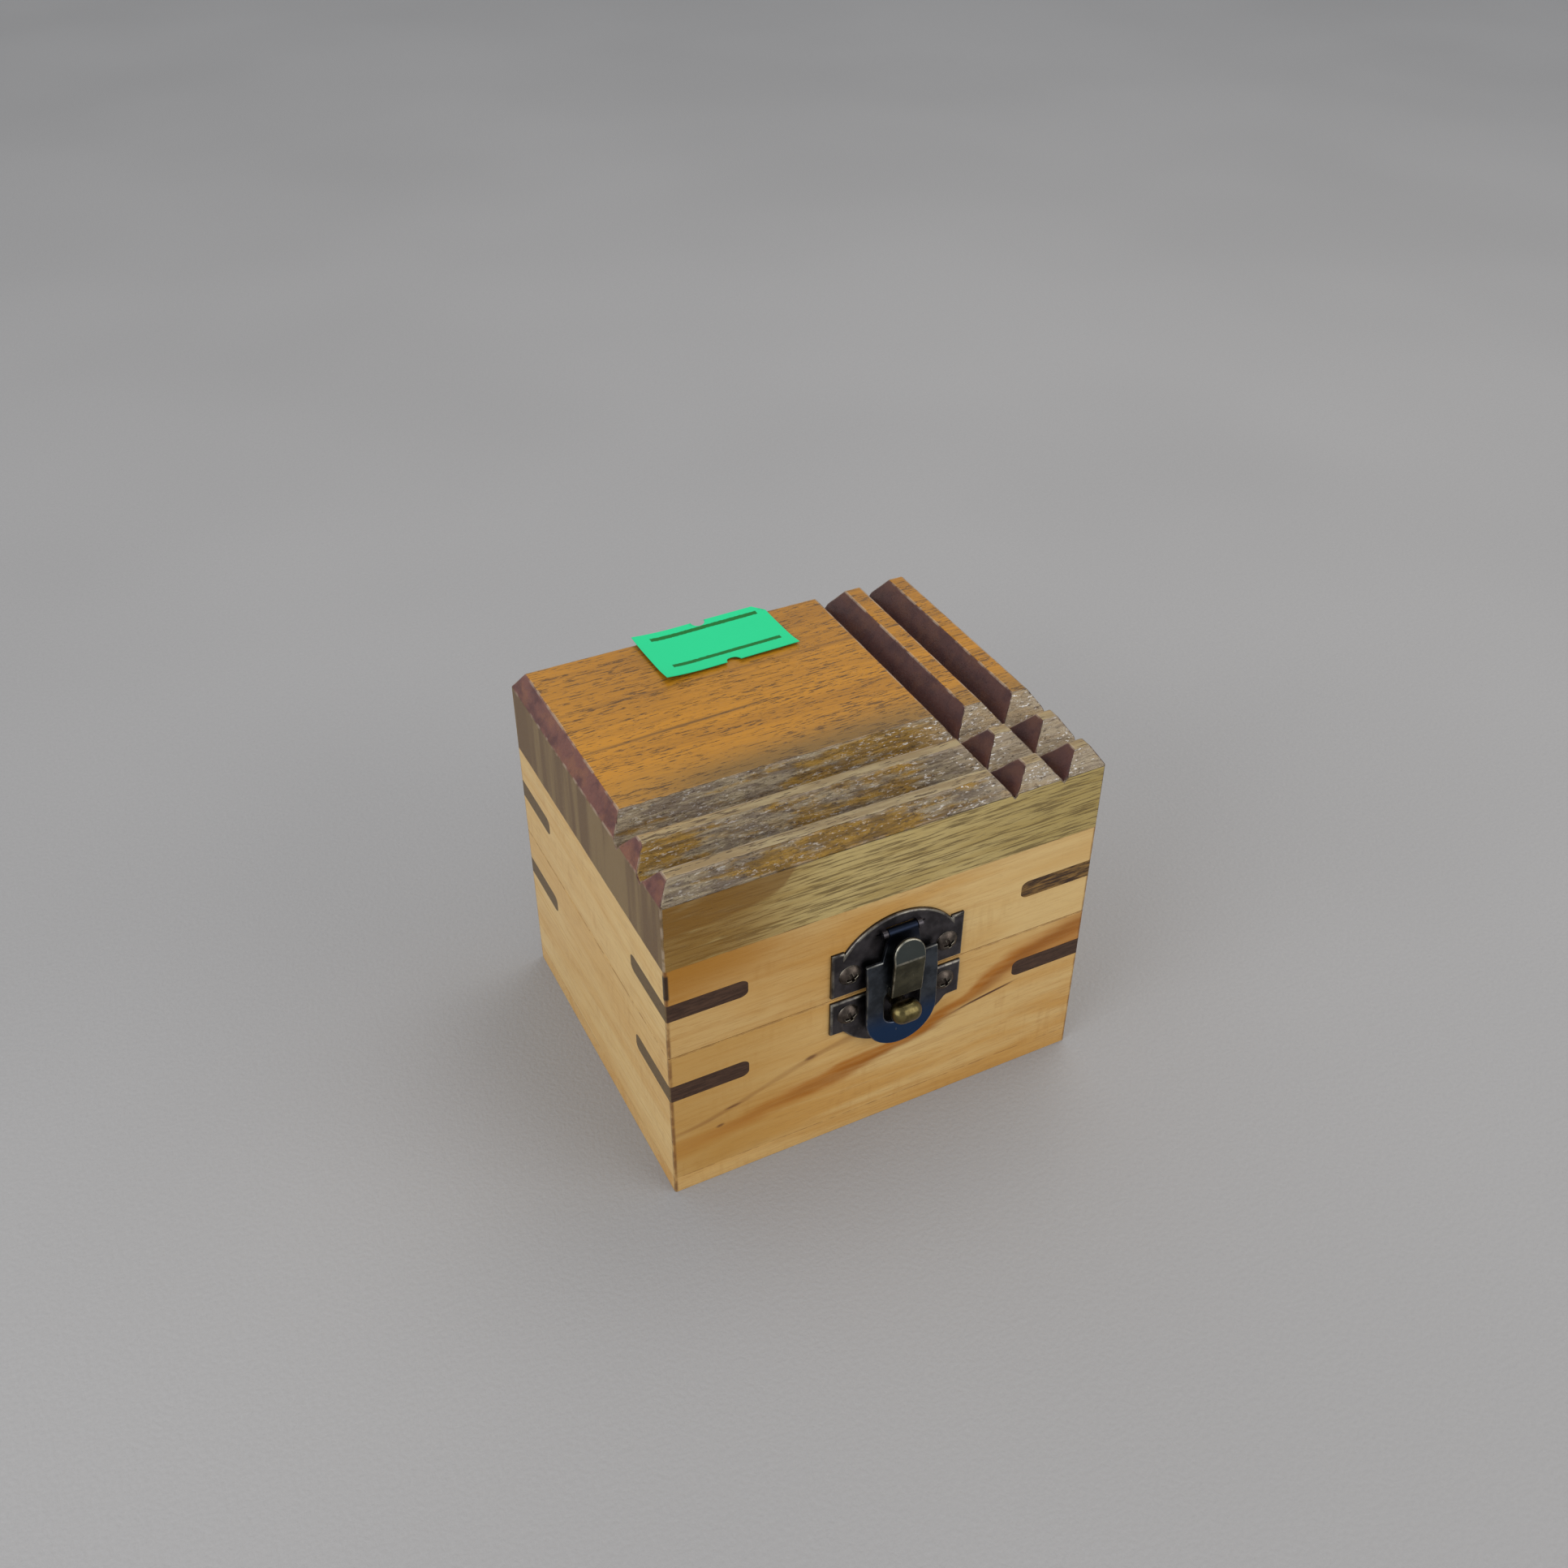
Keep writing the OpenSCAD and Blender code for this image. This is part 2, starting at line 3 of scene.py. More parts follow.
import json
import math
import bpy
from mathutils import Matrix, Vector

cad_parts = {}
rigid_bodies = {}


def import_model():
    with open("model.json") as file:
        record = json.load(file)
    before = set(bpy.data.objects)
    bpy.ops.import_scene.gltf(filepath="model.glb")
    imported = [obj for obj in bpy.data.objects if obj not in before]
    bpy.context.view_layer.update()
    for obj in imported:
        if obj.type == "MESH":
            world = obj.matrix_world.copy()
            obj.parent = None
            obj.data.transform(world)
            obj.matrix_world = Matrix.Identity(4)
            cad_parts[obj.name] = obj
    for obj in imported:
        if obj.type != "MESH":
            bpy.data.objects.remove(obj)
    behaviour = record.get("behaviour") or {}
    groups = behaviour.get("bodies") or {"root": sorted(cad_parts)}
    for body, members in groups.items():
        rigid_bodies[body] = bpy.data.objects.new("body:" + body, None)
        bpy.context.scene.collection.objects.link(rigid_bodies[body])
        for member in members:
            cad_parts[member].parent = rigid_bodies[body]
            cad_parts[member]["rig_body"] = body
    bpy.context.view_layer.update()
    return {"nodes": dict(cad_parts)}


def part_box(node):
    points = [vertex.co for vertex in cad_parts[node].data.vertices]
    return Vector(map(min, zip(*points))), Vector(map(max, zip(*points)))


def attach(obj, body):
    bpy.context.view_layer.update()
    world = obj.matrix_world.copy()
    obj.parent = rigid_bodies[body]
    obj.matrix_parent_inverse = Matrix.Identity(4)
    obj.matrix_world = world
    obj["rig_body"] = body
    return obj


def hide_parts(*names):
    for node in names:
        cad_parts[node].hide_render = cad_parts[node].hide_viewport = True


bl_info = {
    "name": "Carved keepsake box",
    "version": (1, 0, 0),
    "blender": (4, 5, 0),
    "location": "3D View > Sidebar > Keepsake Box",
    "description": "Finishes the wood, metal and paper of a hinged keepsake box",
    "category": "Object",
}

import bmesh
import bpy
from bpy.props import FloatProperty, FloatVectorProperty, PointerProperty
from bpy.types import Operator, Panel, PropertyGroup
from mathutils import Matrix, Vector, noise

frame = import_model()
NODES = frame["nodes"]

MM = 0.001
WELD = 1e-6
FLAT_ANGLE = math.radians(0.5)

PANEL_LOW, PANEL_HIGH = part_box("bottom_panel")
HALF_W = PANEL_HIGH.x
HALF_D = PANEL_HIGH.y
BASE_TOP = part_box("base_front_board")[1].z
LID_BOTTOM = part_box("lid_front_rail")[0].z
SLAB_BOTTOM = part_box("lid_top")[0].z
SLAB_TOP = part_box("lid_top")[1].z
LABEL_LOW, LABEL_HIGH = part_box("paper_label")
WIDTH_MM = 2 * HALF_W / MM

# sizes of the shaping
WALL_CLEARANCE = 0.3 * MM
SHORT_EDGE = 0.42 * MM
PIN_ROUND = 0.1 * MM
LEAF_ROUND = 0.15 * MM
HINGE_PIN_ROUND = 0.12 * MM
PIN_RIM_EDGE = 0.5 * MM
LABEL_STEP = 0.9 * MM
RECESS_AREA = 2 * MM * MM

# colours of the fine marks on the pale boards
LINE_BROWN = (0.36, 0.16, 0.03)
FIBRE_BROWN = (0.3, 0.14, 0.035)
FIGURE_BROWN = (0.34, 0.15, 0.03)
FLECK_BROWN = (0.2, 0.08, 0.02)
WARM_END = (0.36, 0.17, 0.03)
WARM_CORNER = (0.3, 0.12, 0.006)
LEFT_AMBER = (0.36, 0.18, 0.03)
CORE_BROWN = (0.2, 0.065, 0.006)
UPPER_BROWN = (0.22, 0.085, 0.018)
CRACK_DARK = (0.07, 0.022, 0.008)
KNOT_BROWN = (0.12, 0.045, 0.015)
GLUE_BROWN = (0.13, 0.05, 0.015)
# painted shade inside the open mitre gap
OPEN_GAP_SHADE = (0.012, 0.006, 0.004)
SEAM_BROWN = (0.16, 0.065, 0.02)

# colours of the fine marks on the walnut slab
VEIN_BROWN = (0.1, 0.045, 0.01)
THREAD_BROWN = (0.12, 0.052, 0.008)
SHADE_OLIVE = (0.12, 0.07, 0.018)
LINE_DARK = (0.07, 0.035, 0.01)
PORE_DARK = (0.05, 0.022, 0.006)
LEFT_GOLD = (0.5, 0.22, 0.02)
FLAT_TAN, FLAT_OLIVE = (0.32, 0.25, 0.13), (0.23, 0.165, 0.08)
STREAK_OCHRE = (0.26, 0.16, 0.03)
RIGHT_OCHRE = (0.28, 0.2, 0.05)
STREAK_DARK = (0.12, 0.078, 0.026)
RUST = (0.17, 0.075, 0.004)
BELOW_TAN, BELOW_BROWN = (0.3, 0.2, 0.08), (0.15, 0.085, 0.03)
PLUM_WARM = (0.25, 0.105, 0.05)
BRUISE = (0.05, 0.018, 0.022)
END_SPECK = (0.05, 0.02, 0.02)
# painted shade in the carved grooves
GROOVE_SHADE = (0.025, 0.008, 0.007)
SIDE_END_DARK = (0.11, 0.062, 0.03)
# painted highlight along the slab's rounded arrises
ARRIS_HIGHLIGHT = (0.4, 0.31, 0.22)
TORN_GOLD, TORN_GOLD_DARK = (0.34, 0.19, 0.03), (0.2, 0.11, 0.022)
# grey of the torn slopes: partly the wood's colour, partly a painted sky reflection
TORN_ASH, TORN_ASH_DARK = (0.34, 0.27, 0.17), (0.18, 0.135, 0.095)
TORN_PALE = (0.5, 0.4, 0.28)
TORN_FIBRE = (0.08, 0.048, 0.022)
# painted shade in the crevices of the torn grain
TORN_CREVICE_SHADE = (0.05, 0.03, 0.022)
TORN_GLINT = (0.9, 0.86, 0.82)

# colours of the corner splines
SPLINE_BROWN, SPLINE_PALE = (0.07, 0.035, 0.02), (0.24, 0.13, 0.035)
SPLINE_SIDE, SPLINE_PORE = (0.15, 0.1, 0.045), (0.02, 0.01, 0.006)

# how grey the torn slopes are from left to right, the grey partly a painted sky reflection: the outer slope,
# the lower groove and the upper groove
OUTER_GREY = [(0, 0.85), (0.1, 0.75), (0.22, 0.3), (0.45, 0.15), (0.65, 0.6), (1, 0.75)]
LOWER_GREY = [(0, 0.2), (0.1, 0.3), (0.22, 0.8), (0.3, 0.75), (0.42, 0.35), (0.6, 0.55), (1, 0.75)]
UPPER_GREY = [(0, 0.8), (0.3, 0.85), (0.45, 0.35), (0.55, 0.4), (0.68, 0.2), (0.8, 0.5), (1, 0.7)]

# streaks on the front board: middle height, half width and strength, each against the distance from its left
BROAD_STREAK = (
    [(0, 11.5), (17, 13.5), (36, 16.5), (50, 19), (61, 23), (70, 28), (80, 31), (90, 32)],
    [(0, 3.2), (36, 2.6), (58, 2.2), (66, 3.4), (76, 5.5), (90, 6.5)],
    [(0, 0.2), (20, 0.7), (40, 0.95), (56, 1.0), (70, 1.0), (90, 0.9)],
)
CORE_STREAK = (
    [(0, 12), (36, 16), (50, 17.8), (62, 21.6), (70, 26.5), (80, 31.5), (90, 33.5)],
    [(0, 1.0), (45, 1.4), (62, 1.4), (70, 2.4), (90, 3.4)],
    [(0, 0.0), (22, 0.25), (45, 0.5), (62, 0.3), (72, 0.6), (90, 0.55)],
)
UPPER_STREAK = (
    [(0, 15.5), (12, 18.2), (29, 23.4), (40, 25.5), (60, 27), (90, 27)],
    [(0, 0.9), (29, 1.1), (45, 1.6), (90, 1.6)],
    [(0, 0.2), (12, 0.65), (22, 0.4), (30, 0.6), (42, 0.15), (50, 0), (90, 0)],
)
CRACK_STREAK = (
    [(0, 18), (53, 20), (66, 22.5), (78, 24.5), (90, 26)],
    [(0, 0.3), (60, 0.35), (67, 0.5), (76, 0.35), (90, 0.3)],
    [(0, 0), (50, 0.0), (58, 0.15), (64, 0.8), (69, 1), (74, 0.5), (78, 0.0), (90, 0)],
)
STREAK_TOP, STREAK_WIDEST = 40, 10
# open mitre at the lid's front left corner, painted as the shade inside the gap: the heights it runs between
GAP_LOW, GAP_HIGH, GAP_FADE = 51, 57.6, 0.8
# knots: distance from the left, height, width and height of the mark
KNOTS = ((12.5, 18.3, 4.6, 0.9), (29, 23.7, 3.6, 1.5), (9.8, 14.3, 2.4, 1.2))
KNOT_TILT = 0.12

# metal: where the hasp and its tab change colour, as start and end height in millimetres and colour: painted
# shade by the pivot, painted sky reflection on the hasp's lower end and on the tab's upper facet
# painted shade on the hasp and its pin by the pivot
PIVOT_SHADE = (47.5, 49, (0.012, 0.016, 0.028))
# painted sky reflection, deep blue towards the hasp's lower end
HASP_SKY_REFLECTION = (34, 27, (0.018, 0.05, 0.13))
# painted reflection: the tab's upper facet in a darker slate
TAB_UPPER_REFLECTION = (44.9, 45.7, (0.07, 0.08, 0.075))
# painted shade for the floors of the screws' recesses
RECESS_SHADE = (0.01, 0.008, 0.008)

# label: colour of its fibres, heights of the two rules and where they end, as shares of the paper
PAPER_FIBRE = (0.03, 0.62, 0.27)
RULE_HEIGHTS = (0.24, 0.868)
RULE_LEFT, RULE_RIGHT = 0.105, 0.932
RULE_EDGES = (0.038, 0.028)
RULE_FADE = 0.007

# stage
FLOOR_RADIUS = 3
FLOOR_DROP = 0.02 * MM
LOOK_AT = Vector((0, 0, 0.04))
LAMPS = (
    ("window", "key_power", 0.4, (0.3, 0.16, 0.76), (1.0, 0.97, 0.93)),
    ("room", "room_power", 0.7, (0.5, -0.7, 0.42), (1.0, 0.98, 0.95)),
    ("left_fill", "fill_power", 0.6, (-0.75, -0.25, 0.4), (0.95, 0.97, 1.0)),
)
LENS_MM, SENSOR_MM, NEAR_CLIP = 37.28, 36, 0.01
CAMERA_PLACE = Vector((-0.11825, -0.22525, 0.25224))
CAMERA_HEADING, CAMERA_TIP, CAMERA_ROLL = (math.radians(angle) for angle in (-27.06, 90 - 37.31, 0.338))


def colour_setting(name, description, default):
    """One colour that a user can change."""
    return FloatVectorProperty(
        name=name, description=description, subtype="COLOR", size=3, min=0, max=1, default=default
    )


def length_setting(name, description, default, top, least=0):
    """One length that a user can change, in metres."""
    return FloatProperty(
        name=name, description=description, unit="LENGTH", min=least, max=top, precision=5, default=default
    )


def power_setting(name, description, default):
    """The power of one lamp that a user can change."""
    return FloatProperty(name=name, description=description, unit="POWER", min=0, default=default)


class KeepsakeWood(PropertyGroup):
    """Sizes and colours of the wood."""

    arris_round: length_setting("Arris rounding", "Rounding of the slab's carved edges", 0.3 * MM, MM)
    corner_round: length_setting("Corner rounding", "Rounding of the box's upright corners", 0.5 * MM, 2 * MM)
    seam_round: length_setting("Seam rounding", "Rounding along the seam and the foot", 0.1 * MM, MM)
    tear_depth: length_setting("Tear depth", "Depth of the torn grain in the grooves", 0.34 * MM, MM)
    slab_step: length_setting("Slab step", "Spacing of the slab's mesh", 0.6 * MM, 3 * MM, least=0.4 * MM)
    top_gold: colour_setting("Top gold", "Golden heart of the slab's top", (0.43, 0.18, 0.008))
    top_brown: colour_setting("Top brown", "Darker bands of the slab's top", (0.2, 0.082, 0.008))
    top_olive: colour_setting("Top olive", "Olive sapwood towards the front", (0.22, 0.125, 0.03))
    front_straw: colour_setting("Front straw", "Straw sapwood on the slab's front", (0.44, 0.33, 0.13))
    front_brown: colour_setting("Front brown", "Brown of the slab's front", (0.17, 0.09, 0.025))
    end_plum: colour_setting("End-grain plum", "End grain on the carved slopes", (0.17, 0.068, 0.05))
    # end grain on the slab's sides: its grey partly a painted reflection of the floor
    end_grey: colour_setting("End-grain grey", "Sanded end grain on the slab's sides", (0.19, 0.125, 0.056))
    pale: colour_setting("Pale wood", "Palest tone of the box's boards", (0.6, 0.41, 0.17))
    honey: colour_setting("Honey wood", "Warm tone of the box's boards", (0.5, 0.27, 0.07))
    heartwood: colour_setting("Heartwood", "Streak across the front board", (0.34, 0.115, 0.006))
    spline_dark: colour_setting("Spline", "Walnut of the corner splines", (0.035, 0.016, 0.009))


class KeepsakeMetal(PropertyGroup):
    """Sizes and colours of the latch, hinges and screws."""

    plate_round: length_setting("Plate rounding", "Rounding of the plates' edges", 0.4 * MM, MM)
    sheet_round: length_setting("Sheet rounding", "Rounding of the hasp and the hinges", 0.25 * MM, MM)
    screw_round: length_setting("Screw rounding", "Rounding of the screws' recesses", 0.07 * MM, MM)
    plate: colour_setting("Plates", "Dark bronze of the latch plates", (0.082, 0.074, 0.08))
    # hasp: bronze whose slight blue is partly a painted sky reflection
    hasp: colour_setting("Hasp", "Blued bronze of the hasp's ring", (0.07, 0.08, 0.095))
    tab: colour_setting("Thumb tab", "Olive bronze of the thumb tab", (0.1, 0.092, 0.056))
    post: colour_setting("Catch post", "Worn brass of the catch post", (0.17, 0.135, 0.055))
    screw: colour_setting("Screws", "Bronze of the screws and pins", (0.1, 0.08, 0.066))
    hinge: colour_setting("Hinges", "Bronze of the hinge leaves", (0.12, 0.095, 0.06))
    # edge colour: brass where the finish has rubbed through, and a painted highlight on the rounded edges
    worn_edge_and_highlight: colour_setting("Worn edge", "Brass where the finish has rubbed through", (0.5, 0.46, 0.36))


class KeepsakeLabel(PropertyGroup):
    """Sizes and colours of the paper label."""

    turn: FloatProperty(
        name="Turn", description="How far the label is turned", subtype="ANGLE", default=math.radians(1.9)
    )
    lift: length_setting("Lift", "How far the label's edges curl up", 0.7 * MM, 2 * MM)
    paper: colour_setting("Paper", "Green of the paper", (0.012, 0.54, 0.22))
    rule: colour_setting("Rules", "Green of the two printed rules", (0.006, 0.13, 0.02))


class KeepsakeStage(PropertyGroup):
    """Floor, light and sky of the setting."""

    floor: colour_setting("Floor", "Pale cloth floor", (0.34, 0.33, 0.325))
    sky: colour_setting("Sky", "Soft light from all round", (0.93, 0.96, 1.0))
    sky_strength: FloatProperty(
        name="Sky strength", description="Brightness of the light from all round", min=0, default=0.72
    )
    key_power: power_setting("Key power", "Power of the window light", 1.6)
    fill_power: power_setting("Fill power", "Power of the light from the left", 3.9)
    room_power: power_setting("Room power", "Power of the light from the front", 3.2)


# ---- shaping ----


def merged_copy(node):
    """A welded copy of a CAD node's mesh, with its flat faces made whole."""
    shape = bmesh.new()
    shape.from_mesh(NODES[node].data)
    bmesh.ops.remove_doubles(shape, verts=shape.verts, dist=WELD)
    bmesh.ops.dissolve_limit(shape, angle_limit=FLAT_ANGLE, verts=shape.verts, edges=shape.edges)
    return shape


def placed(name, data):
    """A new object in the scene."""
    made = bpy.data.objects.new(name, data)
    bpy.context.scene.collection.objects.link(made)
    return made


def as_piece(shape, node, material, crease=50):
    """Turns a shape into the piece that stands for a CAD node, and rides on its body."""
    mesh = bpy.data.meshes.new(node + "_finished")
    shape.to_mesh(mesh)
    shape.free()
    mesh.shade_smooth()
    mesh.set_sharp_from_angle(angle=math.radians(crease))
    mesh.materials.append(material)
    piece = placed(node + "_finished", mesh)
    even = piece.modifiers.new("Even shading", "WEIGHTED_NORMAL")
    even.keep_sharp = True
    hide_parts(node)
    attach(piece, NODES[node]["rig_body"])


def shave(shape, point, direction):
    """Planes away what lies beyond a flat cut, and closes the face that is left."""
    bmesh.ops.bisect_plane(
        shape,
        geom=shape.verts[:] + shape.edges[:] + shape.faces[:],
        dist=WELD / 10,
        plane_co=point,
        plane_no=direction,
        clear_outer=True,
    )
    rim = [edge for edge in shape.edges if edge.is_boundary]
    if rim:
        bmesh.ops.holes_fill(shape, edges=rim, sides=0)


def round_over(shape, edge_point, side, other_side, radius, cuts=3):
    """Rounds the straight outer edge between two faces that point along side and other_side."""
    centre = edge_point - (side + other_side) * radius
    for cut in range(1, cuts + 1):
        angle = math.pi / 2 * cut / (cuts + 1)
        direction = side * math.cos(angle) + other_side * math.sin(angle)
        shave(shape, centre + direction * radius, direction)


def round_corners(shape, radius):
    """Rounds the four upright corners of the box."""
    for sx in (-1, 1):
        for sy in (-1, 1):
            corner = Vector((sx * HALF_W, sy * HALF_D, 0))
            round_over(shape, corner, Vector((sx, 0, 0)), Vector((0, sy, 0)), radius)


def round_rim(shape, height, up, radius):
    """Rounds the four edges that run round the box at a height. up is 1 for a top and -1 for a foot."""
    for side in (Vector((1, 0, 0)), Vector((-1, 0, 0)), Vector((0, 1, 0)), Vector((0, -1, 0))):
        edge = Vector((side.x * HALF_W, side.y * HALF_D, height))
        round_over(shape, edge, side, Vector((0, 0, up)), radius, cuts=2)


def soften(shape, radius, chosen, segments=3, bluntest=30):
    """Rounds the sharp outer edges that chosen accepts, and marks the new faces for the colour of wear and
    painted highlight.
    """
    worn_edge_and_highlight = shape.faces.layers.float.new("wear")
    outer = [edge for edge in shape.edges if edge.is_manifold and edge.is_convex]
    sharp = [edge for edge in outer if edge.calc_face_angle() > math.radians(bluntest) and chosen(edge)]
    made = bmesh.ops.bevel(
        shape,
        geom=sharp,
        offset=radius,
        offset_type="OFFSET",
        segments=segments,
        profile=0.5,
        affect="EDGES",
        clamp_overlap=False,
        material=-1,
    )
    for face in made["faces"]:
        face[worn_edge_and_highlight] = 1


def cut_grid(shape, step, lows, highs, faces_to_cut):
    """Cuts the accepted faces across X and Y every step, so that they can be worn unevenly."""
    for axis in (0, 1):
        direction = Vector((0, 0, 0))
        direction[axis] = 1
        count = math.ceil((highs[axis] - lows[axis]) / step)
        for k in range(1, count):
            at = lows[axis] + (highs[axis] - lows[axis]) * k / count
            faces = [
                face
                for face in shape.faces
                if faces_to_cut(face) and crosses(face, axis, at)
            ]
            edges = {edge for face in faces for edge in face.edges}
            verts = {vert for face in faces for vert in face.verts}
            bmesh.ops.bisect_plane(
                shape,
                geom=list(verts) + list(edges) + faces,
                dist=WELD,
                plane_co=direction * at,
                plane_no=direction,
            )


def crosses(face, axis, at):
    """Whether a face lies on both sides of a plane across an axis."""
    places = [vert.co[axis] for vert in face.verts]
    return min(places) < at < max(places)


# ---- mixing materials ----


class Recipe:
    """A material being mixed. Each call adds a node and returns its output."""

    def __init__(self, name):
        self.material = bpy.data.materials.new(name)
        self.material.use_nodes = True
        self.tree = self.material.node_tree
        self.tree.nodes.clear()
        self.shader = self.add("BsdfPrincipled")
        self.add("OutputMaterial", Surface=self.shader.outputs["BSDF"])
        coordinates = self.add("TexCoord")
        self.uv = coordinates.outputs["UV"]
        self.facing = self.parts(coordinates.outputs["Normal"])
        self.place = self.stretched(coordinates.outputs["Object"], (1 / MM, 1 / MM, 1 / MM))
        self.x, self.y, self.z = self.parts(self.place)

    def add(self, kind, **values):
        """A new node with its sockets set, whose names have underscores for spaces here."""
        node = self.tree.nodes.new("ShaderNode" + kind)
        for name, value in values.items():
            self.put(node.inputs[name.replace("_", " ")], value)
        return node

    def put(self, socket, value):
        """Links an output to a socket, or sets the socket's own value."""
        if isinstance(value, bpy.types.NodeSocket):
            self.tree.links.new(value, socket)
        elif socket.type == "RGBA":
            socket.default_value = (*value, 1)
        else:
            socket.default_value = value

    def finish(self, **values):
        """Sets the shader's sockets, whose names have underscores for spaces here."""
        for name, value in values.items():
            self.put(self.shader.inputs[name.replace("_", " ")], value)
        return self.material

    def parts(self, vector):
        """The three parts of a vector."""
        return self.add("SeparateXYZ", Vector=vector).outputs[:]

    def joined(self, x, y, z):
        """A vector from three parts."""
        return self.add("CombineXYZ", X=x, Y=y, Z=z).outputs[0]

    def stretched(self, vector, scale, shift=(0, 0, 0), turn=(0, 0, 0)):
        """A vector turned, scaled and shifted."""
        return self.add("Mapping", Vector=vector, Location=shift, Rotation=turn, Scale=scale).outputs[0]

    def calc(self, operation, a, b=0.0, c=0.0):
        """One step of arithmetic."""
        node = self.add("Math")
        node.operation = operation
        for socket, value in zip(node.inputs, (a, b, c)):
            self.put(socket, value)
        return node.outputs[0]

    def times(self, *values):
        """The product of several values."""
        total = values[0]
        for value in values[1:]:
            total = self.calc("MULTIPLY", total, value)
        return total

    def scaled(self, value, by, plus):
        """A value times another, plus a third."""
        return self.calc("MULTIPLY_ADD", value, by, plus)

    def fade(self, value, start, end):
        """Rises smoothly from 0 where value is start to 1 where it is end."""
        low, high, first, last = (start, end, 0, 1) if start < end else (end, start, 1, 0)
        node = self.add("MapRange", Value=value, From_Min=low, From_Max=high, To_Min=first, To_Max=last)
        node.interpolation_type = "SMOOTHSTEP"
        return node.outputs[0]

    def cloud(self, size, shift=(0, 0, 0), detail=2.0, rough=0.5, twist=0.0, turn=(0, 0, 0), vector=None):
        """Uneven patches of about that size in millimetres along X, Y and Z."""
        place = self.stretched(vector or self.place, tuple(1 / s for s in size), shift, turn)
        node = self.add("TexNoise", Vector=place, Scale=1, Detail=detail, Roughness=rough, Distortion=twist)
        return node.outputs[0]

    def patches(self, size, start, end, **more):
        """Clouds of that size, faded from 0 at start to 1 at end."""
        return self.fade(self.cloud(size, **more), start, end)

    def mix(self, share, first, second):
        """Two colours mixed."""
        node = self.add("Mix")
        node.data_type = "RGBA"
        self.put(node.inputs[0], share)
        self.put(node.inputs[6], first)
        self.put(node.inputs[7], second)
        return node.outputs[2]

    def over(self, colour, tint, *shares):
        """A colour with a tint laid over it, by the product of the shares."""
        return self.mix(self.times(*shares), colour, tint)

    def curve(self, value, points):
        """A smooth curve through points, over value from 0 to 1."""
        node = self.add("FloatCurve", Value=value)
        line = node.mapping.curves[0]
        line.points[0].location = points[0]
        line.points[1].location = points[-1]
        for point in points[1:-1]:
            line.points.new(*point)
        node.mapping.update()
        return node.outputs[0]

    def mark(self, name):
        """A number painted on the piece."""
        node = self.add("Attribute")
        node.attribute_name = name
        return node.outputs["Fac"]

    def relief(self, height, depth, strength=1.0, over=None):
        """A bump of that depth in millimetres where height is 1."""
        node = self.add("Bump", Strength=strength, Distance=depth * MM, Height=height)
        if over is not None:
            self.put(node.inputs["Normal"], over)
        return node.outputs[0]


def spot(recipe, x, z, width, height, tilt):
    """A soft oval on the front, 1 in its middle, with its centre and size in millimetres."""
    away_x = recipe.calc("SUBTRACT", recipe.x, x)
    away_z = recipe.calc("SUBTRACT", recipe.calc("SUBTRACT", recipe.z, z), recipe.times(away_x, tilt))
    across = recipe.times(away_x, 2 / width)
    up = recipe.times(away_z, 2 / height)
    far = recipe.calc("SQRT", recipe.calc("ADD", recipe.times(across, across), recipe.times(up, up)))
    return recipe.fade(far, 1.0, 0.25)


def band(recipe, streak, wobble):
    """A streak along X, from its curves of middle height, half width and strength."""
    heights, widths, depths = streak
    along = recipe.scaled(recipe.x, 1 / WIDTH_MM, 0.5)
    middle_curve = recipe.curve(along, [(x / WIDTH_MM, z / STREAK_TOP) for x, z in heights])
    middle = recipe.times(middle_curve, STREAK_TOP)
    half_curve = recipe.curve(along, [(x / WIDTH_MM, w / STREAK_WIDEST) for x, w in widths])
    half = recipe.times(half_curve, STREAK_WIDEST)
    strength = recipe.curve(along, [(x / WIDTH_MM, s) for x, s in depths])
    away = recipe.calc("SUBTRACT", recipe.z, recipe.calc("ADD", middle, wobble))
    share = recipe.calc("DIVIDE", recipe.calc("ABSOLUTE", away), half)
    return recipe.times(recipe.fade(share, 1.0, 0.2), strength)


